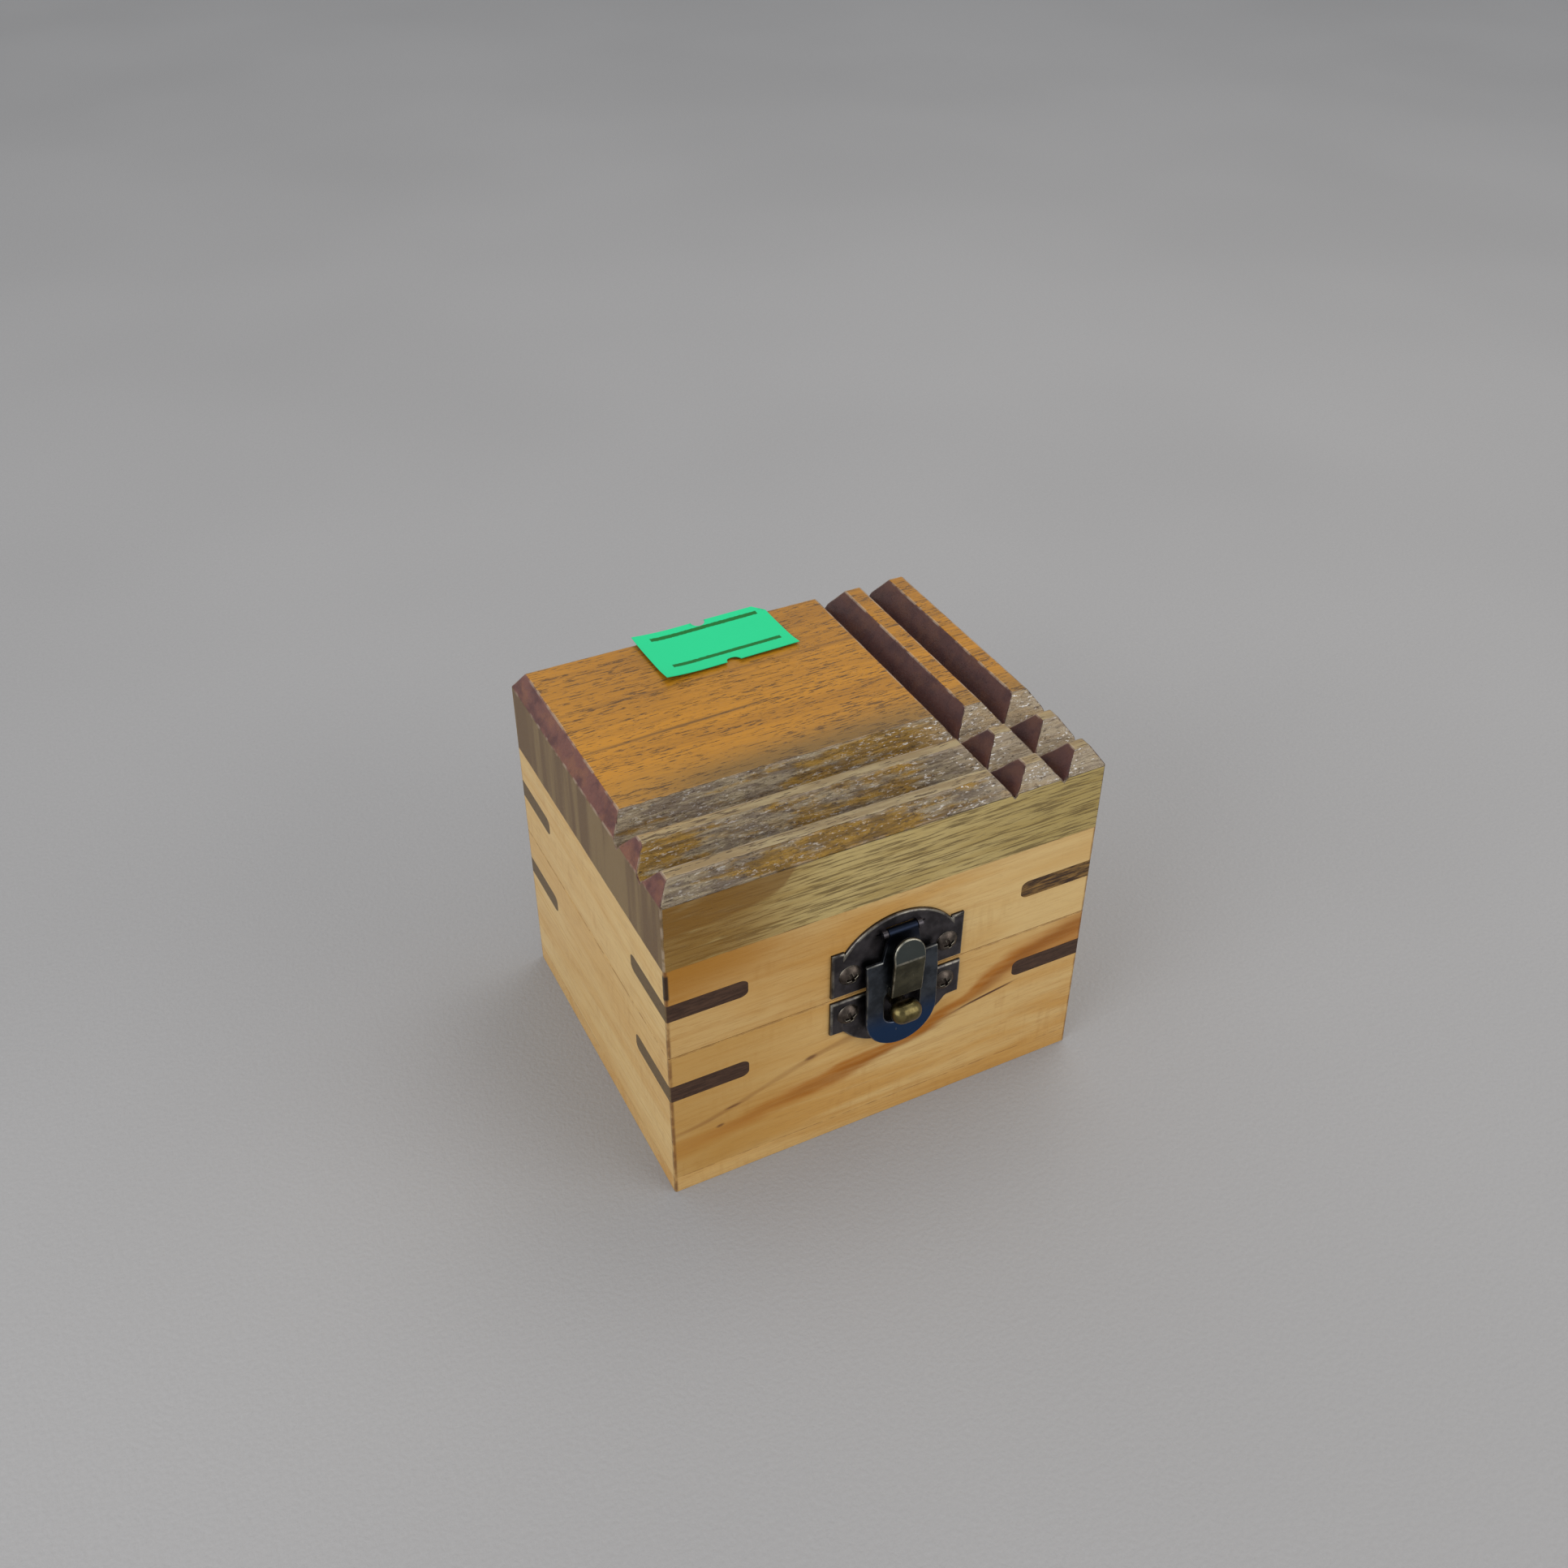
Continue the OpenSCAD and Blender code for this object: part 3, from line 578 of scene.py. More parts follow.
def light_board(name, look, along, shift, heart=False, ends_warm=False, figured=1.0, honeyed=0.0):
    """Pale figured hardwood, its grain along X or Y."""
    mixing = Recipe(name)

    def grain(length, width, **more):
        size = (length, width, width) if along == "X" else (width, length, width)
        return mixing.cloud(size, shift=shift, **more)

    tone = mixing.fade(grain(60, 9, detail=3, twist=0.6), 0.36, 0.66)
    lines = mixing.fade(grain(45, 1.1, detail=4, rough=0.65, twist=0.2), 0.47, 0.7)
    fibres = mixing.fade(grain(5, 0.28, detail=3, rough=0.65), 0.49, 0.72)
    flecks = mixing.fade(grain(2.2, 0.4), 0.62, 0.74)
    across = (1.1, 5, 6) if along == "X" else (5, 1.1, 6)
    figure = mixing.times(
        mixing.patches(across, 0.45, 0.75, shift=shift),
        mixing.patches((22, 22, 7), 0.48, 0.62, shift=shift, detail=1),
    )
    colour = mixing.mix(mixing.times(tone, figured), look.pale, look.honey)
    colour = mixing.over(colour, look.honey, honeyed)
    colour = mixing.over(colour, LINE_BROWN, lines, 0.32 * figured)
    colour = mixing.over(colour, FIBRE_BROWN, fibres, 0.42)
    colour = mixing.over(colour, FIGURE_BROWN, figure, 0.22)
    colour = mixing.over(colour, FLECK_BROWN, flecks, 0.14)
    if ends_warm:
        warm = mixing.times(mixing.fade(mixing.x, -6, -44), mixing.fade(mixing.z, 44, 56))
        colour = mixing.over(colour, WARM_END, mixing.fade(mixing.x, 20, -44), 0.4)
        colour = mixing.over(colour, WARM_CORNER, warm, 0.8)
        colour = mixing.over(colour, look.pale, mixing.fade(mixing.x, 5, 40), 0.5)
    if heart:
        colour = with_heartwood(mixing, look, colour)
    colour = with_joint_lines(mixing, colour)
    skin = mixing.relief(fibres, -0.02, 0.5)
    skin = mixing.relief(grain(30, 3), 0.08, 0.4, over=skin)
    gloss = mixing.scaled(lines, 0.12, 0.36)
    return mixing.finish(Base_Color=colour, Roughness=gloss, Specular_IOR_Level=0.3, Normal=skin)


def with_heartwood(mixing, look, colour):
    """Lays the orange-brown heartwood streak, its crack and three small knots on the front board."""
    sway = mixing.cloud((16, 9, 5), detail=3)
    wobble = mixing.scaled(sway, 5.0, -2.5)
    colour = mixing.over(colour, look.honey, mixing.fade(mixing.z, 12, 30), 0.4)
    colour = mixing.over(colour, LEFT_AMBER, mixing.fade(mixing.x, -5, -40), 0.55)
    broad = band(mixing, BROAD_STREAK, wobble)
    broken = mixing.scaled(mixing.cloud((14, 4, 1.3), detail=4, rough=0.65), 1.3, 0.28)
    colour = mixing.over(colour, look.heartwood, broad, broken)
    core = band(mixing, CORE_STREAK, mixing.times(wobble, 0.6))
    colour = mixing.over(colour, CORE_BROWN, core, broken, 0.75)
    upper = band(mixing, UPPER_STREAK, mixing.times(wobble, 0.35))
    colour = mixing.over(colour, UPPER_BROWN, upper, broken, 0.8)
    crack = band(mixing, CRACK_STREAK, mixing.times(wobble, 0.12))
    colour = mixing.over(colour, CRACK_DARK, crack)
    for x, z, width, height in KNOTS:
        knot = spot(mixing, x - WIDTH_MM / 2, z, width, height, KNOT_TILT)
        colour = mixing.over(colour, KNOT_BROWN, knot, 0.75)
    return colour


def with_joint_lines(mixing, colour):
    """Darkens the mitres with glue brown, paints the open mitre gap black as its shade, and darkens the seam
    and the joint above the bottom panel.
    """
    side = mixing.calc("SUBTRACT", HALF_W / MM, mixing.calc("ABSOLUTE", mixing.x))
    face = mixing.calc("SUBTRACT", HALF_D / MM, mixing.calc("ABSOLUTE", mixing.y))
    corner = mixing.calc("ADD", side, face)
    patchy = mixing.patches((2, 2, 2.5), 0.35, 0.6, detail=3)
    mitre = mixing.times(mixing.fade(corner, 0.8, 0.3), mixing.scaled(patchy, 0.5, 0.45))
    colour = mixing.over(colour, GLUE_BROWN, mitre, 0.85)
    # painted shade inside the open mitre at the lid's front left corner
    above_low = mixing.fade(mixing.z, GAP_LOW, GAP_LOW + GAP_FADE)
    gap_height = mixing.times(above_low, mixing.fade(mixing.z, GAP_HIGH, GAP_HIGH - GAP_FADE))
    gap_side = mixing.times(mixing.fade(mixing.x, -42, -43), mixing.fade(mixing.y, -35, -36))
    gap = mixing.times(mixing.fade(corner, 0.95, 0.55), gap_height, gap_side)
    colour = mixing.over(colour, OPEN_GAP_SHADE, gap, 0.9)
    tilt = mixing.calc("ABSOLUTE", mixing.facing[2])
    over_panel = mixing.fade(mixing.z, PANEL_HIGH.z / MM + 1, BASE_TOP / MM)
    level = mixing.times(mixing.fade(tilt, 0.6, 0.8), over_panel)
    off_mitre = mixing.calc("ABSOLUTE", mixing.calc("SUBTRACT", side, face))
    mitre = mixing.times(mixing.fade(off_mitre, 0.35, 0.12), level)
    colour = mixing.over(colour, GLUE_BROWN, mitre, 0.7)
    upright = mixing.fade(tilt, 0.8, 0.6)
    for height, width, strength in (
        (BASE_TOP / MM, 0.3, 0.55),
        (LID_BOTTOM / MM, 0.25, 0.45),
        (PANEL_HIGH.z / MM, 0.16, 0.6),
        (SLAB_BOTTOM / MM, 0.22, 0.5),
    ):
        away = mixing.calc("ABSOLUTE", mixing.calc("SUBTRACT", mixing.z, height))
        line = mixing.times(mixing.fade(away, width, width * 0.3), upright, strength)
        colour = mixing.over(colour, SEAM_BROWN, line, patchy)
    return colour


def torn_grain(mixing, depth):
    """Colour of the torn slopes that face the front: gold and grey patches, the grey partly a painted sky
    reflection, painted shade in crevices and pale glints.
    """
    along = mixing.scaled(mixing.x, 1 / WIDTH_MM, 0.5)
    by_groove = mixing.times(mixing.curve(along, OUTER_GREY), mixing.fade(depth, 6, 5))
    middle = mixing.times(mixing.fade(depth, 5, 6), mixing.fade(depth, 16, 15))
    by_groove = mixing.scaled(mixing.curve(along, LOWER_GREY), middle, by_groove)
    by_groove = mixing.scaled(mixing.curve(along, UPPER_GREY), mixing.fade(depth, 15, 16), by_groove)
    blotch = mixing.cloud((11, 2.0, 2.0), detail=4, rough=0.6, shift=(3, 0, 0))
    # grey patches: partly the wood's colour, partly a painted sky reflection
    grey = mixing.fade(mixing.scaled(by_groove, 0.38, blotch), 0.6, 0.78)
    tint = mixing.patches((6, 0.9, 0.9), 0.4, 0.6, detail=4, rough=0.6, shift=(9, 4, 2))
    gold = mixing.mix(tint, TORN_GOLD, TORN_GOLD_DARK)
    ash = mixing.mix(tint, TORN_ASH, TORN_ASH_DARK)
    colour = mixing.mix(grey, gold, ash)
    near_end = mixing.fade(mixing.x, 14, 28)
    colour = mixing.over(colour, TORN_PALE, near_end, 0.6)
    fibres = mixing.patches((5, 0.4, 0.4), 0.5, 0.64, detail=3, rough=0.65)
    fibre_share = mixing.scaled(near_end, -0.1, 0.5)
    colour = mixing.over(colour, TORN_FIBRE, fibres, fibre_share)
    # painted shade in the crevices of the torn grain
    crevice_shade = mixing.patches((1.6, 0.6, 0.6), 0.57, 0.65, detail=4, rough=0.7)
    colour = mixing.over(colour, TORN_CREVICE_SHADE, crevice_shade, 0.7)
    glints = mixing.patches((1.3, 0.4, 0.4), 0.57, 0.64, detail=3, rough=0.7, shift=(5, 5, 5))
    glints = mixing.times(glints, mixing.patches((5, 2, 2), 0.38, 0.54, shift=(1, 8, 3)))
    more = mixing.scaled(mixing.fade(mixing.x, 0, 26), 0.7, 0.3)
    return mixing.mix(mixing.times(glints, more), colour, TORN_GLINT)


def walnut_slab(look):
    """Varnished walnut, its grain along X: golden on top, straw in front and plum on its end grain."""
    mixing = Recipe("varnished_walnut")
    facing_x, facing_y, facing_z = mixing.facing
    depth = mixing.calc("ADD", mixing.y, HALF_D / MM)
    sway = mixing.scaled(mixing.cloud((40, 14, 14)), 8.0, -4.0)
    rings = mixing.joined(mixing.x, mixing.calc("ADD", mixing.y, sway), mixing.z)

    bands = mixing.patches((90, 5, 9), 0.38, 0.62, detail=3, vector=rings)
    veins = mixing.patches((40, 0.9, 2), 0.5, 0.74, detail=3, rough=0.6, vector=rings)
    crowd = mixing.patches((30, 4, 6), 0.38, 0.62, vector=rings)
    dashes = mixing.cloud((2.8, 0.3, 0.36), detail=3, rough=0.62)
    pores = mixing.fade(mixing.scaled(crowd, 0.05, dashes), 0.585, 0.65)
    threads = mixing.patches((9, 0.35, 0.4), 0.47, 0.68, detail=4, rough=0.7, vector=rings)
    dust = mixing.patches((1.0, 0.3, 0.3), 0.5, 0.75)
    top = mixing.mix(mixing.times(bands, 0.3), look.top_gold, look.top_brown)
    edge_sap = mixing.times(mixing.fade(mixing.calc("ADD", depth, sway), 37, 22), 0.75)
    top = mixing.over(top, look.top_olive, edge_sap)
    back_band = mixing.times(mixing.fade(mixing.calc("ADD", depth, sway), 56, 61), 0.28)
    top = mixing.over(top, look.top_brown, back_band)
    top = mixing.over(top, VEIN_BROWN, veins, 0.3)
    top = mixing.over(top, THREAD_BROWN, threads, 0.34)
    off_middle = mixing.calc("ABSOLUTE", mixing.calc("ADD", mixing.x, 8))
    shade = mixing.times(mixing.fade(depth, 32, 24), mixing.fade(off_middle, 40, 12))
    top = mixing.over(top, SHADE_OLIVE, shade, 0.6)
    past_line = mixing.calc("SUBTRACT", depth, 42.6)
    line_place = mixing.calc("ABSOLUTE", mixing.scaled(mixing.x, -0.035, past_line))
    line = mixing.times(mixing.fade(line_place, 0.55, 0.1), mixing.fade(mixing.x, -2, -12))
    top = mixing.over(top, LINE_DARK, line, 0.7)
    past_far = mixing.scaled(sway, 0.3, mixing.calc("SUBTRACT", depth, 54.9))
    far_line = mixing.calc("ABSOLUTE", past_far)
    top = mixing.over(top, VEIN_BROWN, mixing.fade(far_line, 0.5, 0.1), 0.45)
    top = mixing.over(top, LEFT_GOLD, mixing.fade(mixing.x, -20, -42), 0.3)
    sheen = mixing.patches((14, 1.2, 1.2), 0.4, 0.6, detail=3)
    flats = mixing.mix(sheen, FLAT_TAN, FLAT_OLIVE)
    top = mixing.over(top, flats, mixing.fade(depth, 17, 14), 0.85)
    top = mixing.over(top, PORE_DARK, pores, 0.8)

    slant = (0, math.radians(7), 0)
    streaks = mixing.patches((8, 1.5, 0.42), 0.47, 0.62, detail=4, rough=0.62, turn=slant)
    long_streaks = mixing.patches((16, 3, 1.6), 0.45, 0.65, detail=3, turn=slant)
    straw = mixing.mix(mixing.times(long_streaks, 0.35), look.front_straw, STREAK_OCHRE)
    straw = mixing.over(straw, RIGHT_OCHRE, mixing.fade(mixing.x, 8, 40), 0.45)
    straw = mixing.over(straw, STREAK_DARK, streaks, 0.8)
    hump = mixing.curve(
        mixing.scaled(mixing.x, 1 / WIDTH_MM, 0.5),
        [(0, 0.4), (0.17, 0.46), (0.24, 0.55), (0.29, 0.8), (0.36, 0.95), (0.6, 1.0), (1, 1.0)],
    )
    hump_height = mixing.scaled(hump, (SLAB_TOP - SLAB_BOTTOM) / MM, SLAB_BOTTOM / MM)
    above = mixing.fade(mixing.calc("SUBTRACT", mixing.z, hump_height), -0.5, 0.6)
    straw = mixing.over(straw, look.front_brown, above, 0.75)
    rusty = mixing.patches((12, 3, 2), 0.2, 0.5, detail=3)
    rust = mixing.times(mixing.fade(mixing.x, -10, -38), rusty)
    straw = mixing.over(straw, RUST, rust, 0.8)

    below = mixing.fade(facing_z, -0.4, -0.6)
    underside = mixing.mix(mixing.times(threads, 0.6), BELOW_TAN, BELOW_BROWN)
    straw = mixing.over(straw, underside, below)

    torn = torn_grain(mixing, depth)

    plum = mixing.patches((3.5, 5, 3.5), 0.42, 0.6, detail=3, rough=0.6)
    end = mixing.mix(mixing.times(plum, 0.5), look.end_plum, PLUM_WARM)
    bruise = mixing.patches((3, 4, 3), 0.42, 0.68, detail=3, rough=0.6, shift=(4, 9, 1))
    end = mixing.over(end, BRUISE, bruise, 0.6)
    end = mixing.over(end, END_SPECK, mixing.cloud((0.5, 0.5, 0.5)), 0.35)
    # painted shade: end grain darker in the grooves, from the middle rightwards
    end = mixing.over(end, GROOVE_SHADE, mixing.fade(mixing.x, 0, 20), 0.6)
    # grey end grain on the upright sides, partly a painted reflection of the floor
    stripes = mixing.patches((8, 4.5, 60), 0.4, 0.6, detail=4)
    side_end_grain = mixing.mix(mixing.times(stripes, 0.75), look.end_grey, SIDE_END_DARK)

    on_front = mixing.fade(facing_y, -0.35, -0.5)
    upright = mixing.fade(facing_z, 0.3, 0.12)
    on_end = mixing.fade(mixing.calc("ABSOLUTE", facing_x), 0.35, 0.5)
    colour = mixing.mix(on_front, top, torn)
    colour = mixing.over(colour, mixing.mix(upright, end, side_end_grain), on_end)
    upright_front = mixing.times(upright, mixing.calc("SUBTRACT", 1.0, on_end))
    colour = mixing.over(colour, straw, upright_front)
    # painted highlight on the rounded arrises, in patches
    highlight_patches = mixing.patches((3, 3, 3), 0.42, 0.6, detail=3)
    colour = mixing.over(colour, ARRIS_HIGHLIGHT, mixing.mark("wear"), highlight_patches, 0.45)

    rough_place = mixing.times(on_front, mixing.calc("SUBTRACT", 1.0, upright))
    fine = mixing.cloud((1.3, 0.4, 0.4), detail=4, rough=0.7)
    skin = mixing.relief(mixing.times(fine, rough_place), 0.8)
    dents = mixing.calc("ADD", pores, mixing.times(streaks, upright, 0.5))
    skin = mixing.relief(dents, -0.06, 0.6, over=skin)
    skin = mixing.relief(dust, 0.05, 0.35, over=skin)
    dull = mixing.scaled(upright, 0.18, 0.3)
    gloss = mixing.calc("SUBTRACT", dull, mixing.times(rough_place, 0.08))
    return mixing.finish(Base_Color=colour, Roughness=gloss, Specular_IOR_Level=0.3, Normal=skin)


def spline_walnut(name, look, shift, pale):
    """Dark walnut of a corner spline, its grain across the corner."""
    mixing = Recipe(name)
    fibres = mixing.cloud((4, 4, 0.5), shift=shift, detail=4, rough=0.65)
    pores = mixing.patches((1.0, 1.0, 0.3), 0.6, 0.7, shift=shift)
    brown = SPLINE_PALE if pale else SPLINE_BROWN
    colour = mixing.mix(mixing.fade(fibres, 0.35, 0.7), look.spline_dark, brown)
    on_side = mixing.fade(mixing.calc("ABSOLUTE", mixing.facing[0]), 0.5, 0.8)
    colour = mixing.over(colour, SPLINE_SIDE, on_side, 0.7)
    colour = mixing.over(colour, SPLINE_PORE, pores, 0.6)
    skin = mixing.relief(fibres, 0.08, 0.5)
    return mixing.finish(Base_Color=colour, Roughness=0.45, Specular_IOR_Level=0.25, Normal=skin)


def metal_with_wear_and_painted_light(name, colour, worn_edge_and_highlight, roughness, edge_share, cloud_size=3.0, shades=()):
    """Dark metal, with brass wear and a painted highlight on its marked edges. A shade is a start height, end
    height and colour, laid over as painted shade or painted reflection.
    """
    mixing = Recipe(name)
    smoke = mixing.cloud((cloud_size,) * 3, detail=4, rough=0.6)
    patchy = mixing.patches((1.6, 1.6, 1.6), 0.35, 0.6, detail=3)
    dark = tuple(part * 0.5 for part in colour)
    tint = mixing.mix(mixing.fade(smoke, 0.35, 0.65), dark, colour)
    # brass wear and painted highlight on the marked edges
    edge = mixing.times(mixing.mark("wear"), mixing.scaled(patchy, 0.75, 0.15), edge_share)
    scuffs = mixing.patches((0.5, 0.5, 3), 0.66, 0.76, detail=3, rough=0.7)
    for start, end, shade in shades:
        tint = mixing.over(tint, shade, mixing.fade(mixing.z, start, end))
    tint = mixing.over(tint, worn_edge_and_highlight, edge)
    # painted shade on the faces marked as recess floors
    tint = mixing.over(tint, RECESS_SHADE, mixing.mark("grime"), 0.9)
    tint = mixing.over(tint, worn_edge_and_highlight, scuffs, 0.2)
    satin = mixing.scaled(smoke, 0.25, roughness - 0.1)
    skin = mixing.relief(mixing.cloud((0.35, 0.35, 0.35)), 0.02, 0.3)
    skin = mixing.relief(smoke, 0.1, 0.3, over=skin)
    return mixing.finish(Base_Color=tint, Metallic=1.0, Roughness=satin, Normal=skin)


def green_paper(look):
    """Bright green label paper with two printed rules, laid out on the label's own map."""
    mixing = Recipe("green_paper")
    across, up, _ = mixing.parts(mixing.uv)
    fray = mixing.scaled(mixing.cloud((0.6, 0.6, 0.6)), 0.02, -0.01)
    ruled = None
    for height in RULE_HEIGHTS:
        away = mixing.calc("ABSOLUTE", mixing.calc("SUBTRACT", mixing.calc("ADD", up, fray), height))
        rule = mixing.fade(away, *RULE_EDGES)
        ruled = rule if ruled is None else mixing.calc("ADD", ruled, rule)
    from_left = mixing.fade(across, RULE_LEFT, RULE_LEFT + RULE_FADE)
    to_right = mixing.fade(across, RULE_RIGHT, RULE_RIGHT - RULE_FADE)
    inside = mixing.times(from_left, to_right)
    fibres = mixing.cloud((0.5, 0.5, 0.5), detail=3)
    paper = mixing.mix(mixing.times(fibres, 0.18), look.paper, PAPER_FIBRE)
    colour = mixing.mix(mixing.times(ruled, inside), paper, look.rule)
    skin = mixing.relief(fibres, 0.03, 0.4)
    return mixing.finish(Base_Color=colour, Roughness=0.62, Specular_IOR_Level=0.2, Normal=skin)


def cloth_floor(look):
    """Plain pale brushed cloth."""
    mixing = Recipe("pale_cloth")
    nap = mixing.cloud((220, 220, 220))
    fuzz = mixing.cloud((0.9, 0.9, 0.9))
    darker = tuple(part * 0.93 for part in look.floor)
    colour = mixing.mix(mixing.fade(nap, 0.3, 0.7), look.floor, darker)
    colour = mixing.over(colour, tuple(part * 0.6 for part in look.floor), fuzz, 0.22)
    return mixing.finish(Base_Color=colour, Roughness=0.9, Normal=mixing.relief(fuzz, 0.25, 0.5))


# ---- making the pieces ----


def tear_out(place, facing, depth):
    """How far the wood is worn back at a place, in metres, by the way its surface faces."""
    spot_mm = place / MM
    if facing.z < 0.25:
        return 0
    fine = noise.noise(Vector((spot_mm.x * 1.1, spot_mm.y * 0.6, spot_mm.z * 0.6)))
    coarse = noise.noise(Vector((spot_mm.x * 0.35, spot_mm.y * 0.5, spot_mm.z * 0.5 + 7)))
    if facing.z > 0.97:
        return depth * 0.08 * (0.5 + 0.5 * coarse)
    if facing.y < -0.3:
        return depth * min(1, max(0, 0.35 + 0.55 * fine + 0.35 * coarse))
    return depth * 0.08 * (0.5 + 0.5 * fine)


def carve_slab(wood):
    """The lid's walnut slab: its arrises rounded and its carved slopes torn."""
    shape = merged_copy("lid_top")
    low = SLAB_BOTTOM + MM
    soften(shape, wood.arris_round, lambda edge: min(v.co.z for v in edge.verts) > low, segments=2)
    round_corners(shape, wood.corner_round)
    cut_grid(
        shape,
        wood.slab_step,
        Vector((-HALF_W, -HALF_D, 0)),
        Vector((HALF_W, HALF_D, 0)),
        lambda face: face.normal.z > 0.2,
    )
    shape.normal_update()
    moves = [vert.normal * tear_out(vert.co, vert.normal, wood.tear_depth) for vert in shape.verts]
    for vert, move in zip(shape.verts, moves):
        vert.co -= move
    as_piece(shape, "lid_top", walnut_slab(wood), crease=38)


def finish_boards(boards, wood, rims):
    """Finishes boards, each given as its node, its grain's axis and what else its wood has."""
    for count, (node, along, extras) in enumerate(boards):
        shape = merged_copy(node)
        round_corners(shape, wood.corner_round)
        for height, up in rims:
            round_rim(shape, height, up, wood.seam_round)
        shift = (count * 13.7 + 5, count * 7.3, count * 4.1)
        material = light_board(node + "_wood", wood, along, shift, **extras)
        as_piece(shape, node, material, crease=35)


def set_splines(wood):
    """The eight dark splines across the corners."""
    for count, node in enumerate(sorted(name for name in NODES if "_spline_" in name)):
        shape = merged_copy(node)
        round_corners(shape, wood.corner_round)
        pale = node == "lid_spline_front_right"
        material = spline_walnut(node + "_walnut", wood, (count * 5.3, count * 3.1, count * 2.2), pale)
        as_piece(shape, node, material, crease=35)


def paint_recess_shade(shape, chosen):
    """Marks the accepted faces for painted shade, as on the floors of a recess."""
    grime = shape.faces.layers.float.new("grime")
    for face in shape.faces:
        face[grime] = 1 if chosen(face) else 0


def clear_of_wall(edge):
    """Whether an edge stands clear of the front and back walls."""
    return min(abs(vert.co.y) for vert in edge.verts) > HALF_D + WALL_CLEARANCE


def softened_piece(node, radius, chosen, material, slot, **more):
    """The piece that stands for a CAD node, with the edges that chosen accepts rounded."""
    shape = merged_copy(node)
    soften(shape, radius, chosen, **more)
    as_piece(shape, node, material)


def fit_latch(metal):
    """Plates, hasp with its thumb tab, pivot pin and catch post."""
    plate = metal_with_wear_and_painted_light("dark_bronze_plate", metal.plate, metal.worn_edge_and_highlight, 0.32, 0.36)
    # painted shade by the pivot and painted sky reflection towards the hasp's lower end
    hasp_shade_and_reflection = (PIVOT_SHADE, HASP_SKY_REFLECTION)
    ring = metal_with_wear_and_painted_light("blued_bronze_hasp", metal.hasp, metal.worn_edge_and_highlight, 0.34, 0.25, shades=hasp_shade_and_reflection)
    # the tab's upper facet gets a painted reflection
    olive = metal_with_wear_and_painted_light("olive_bronze_tab", metal.tab, metal.worn_edge_and_highlight, 0.3, 0.6, shades=(TAB_UPPER_REFLECTION,))
    brass = metal_with_wear_and_painted_light("worn_brass_post", metal.post, metal.worn_edge_and_highlight, 0.27, 0.5, cloud_size=2.0)
    # the pin gets the same painted shade by the pivot
    pin = metal_with_wear_and_painted_light("bronze_pivot_pin", metal.hasp, metal.worn_edge_and_highlight, 0.45, 0.1, shades=(PIVOT_SHADE,))
    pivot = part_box("hasp_pin")
    near_pivot = pivot[0].z - MM

    def on_plate(edge):
        middle = (edge.verts[0].co + edge.verts[1].co) / 2
        beside = pivot[0].x - 0.6 * MM < middle.x < pivot[1].x + 0.6 * MM
        by_lugs = beside and near_pivot < middle.z < pivot[1].z + MM
        return clear_of_wall(edge) and not by_lugs and edge_is_long(edge)

    def below_pivot(edge):
        return max(vert.co.z for vert in edge.verts) < near_pivot

    for node in ("latch_upper_plate", "latch_lower_plate"):
        softened_piece(node, metal.plate_round, on_plate, plate, "dark_bronze")
    softened_piece("hasp", metal.sheet_round, below_pivot, ring, "dark_bronze")
    softened_piece("hasp_thumb_tab", metal.sheet_round, clear_of_wall, olive, "olive_bronze", bluntest=12)
    as_piece(merged_copy("catch_post"), "catch_post", brass, crease=40)
    softened_piece("hasp_pin", PIN_ROUND, lambda edge: True, pin, "screw_bronze", segments=2)


def edge_is_long(edge):
    """Whether an edge isn't one of the short ones round a screw's hole."""
    return edge.calc_length() > SHORT_EDGE


def drive_screws(metal):
    """The latch's and the hinges' screws."""
    material = metal_with_wear_and_painted_light("bronze_screw", metal.screw, metal.worn_edge_and_highlight, 0.36, 0.8, cloud_size=1.5)
    for node in ("latch_upper_screws", "latch_lower_screws", "hinge_lid_screws", "hinge_base_screws"):
        shape = merged_copy(node)
        # painted shade on the small flat faces facing along Y, the floors of the cross recesses
        paint_recess_shade(shape, lambda face: abs(face.normal.y) > 0.999 and face.calc_area() < RECESS_AREA)
        soften(shape, metal.screw_round, clear_of_wall, segments=2)
        as_piece(shape, node, material)


def hang_hinges(metal):
    """The two butt hinges' leaves and pins."""
    leaf = metal_with_wear_and_painted_light("bronze_hinge_leaf", metal.hinge, metal.worn_edge_and_highlight, 0.36, 0.7)
    pin = metal_with_wear_and_painted_light("bronze_hinge_pin", metal.screw, metal.worn_edge_and_highlight, 0.36, 0.7)

    def on_leaf(edge):
        return clear_of_wall(edge) and edge_is_long(edge)

    def on_rim(edge):
        return edge.calc_length() < PIN_RIM_EDGE

    for side in ("left", "right"):
        for half in ("lid_leaf", "base_leaf"):
            softened_piece(f"hinge_{side}_{half}", LEAF_ROUND, on_leaf, leaf, "hinge_bronze")
        softened_piece(f"hinge_{side}_pin", HINGE_PIN_ROUND, on_rim, pin, "screw_bronze", segments=2)


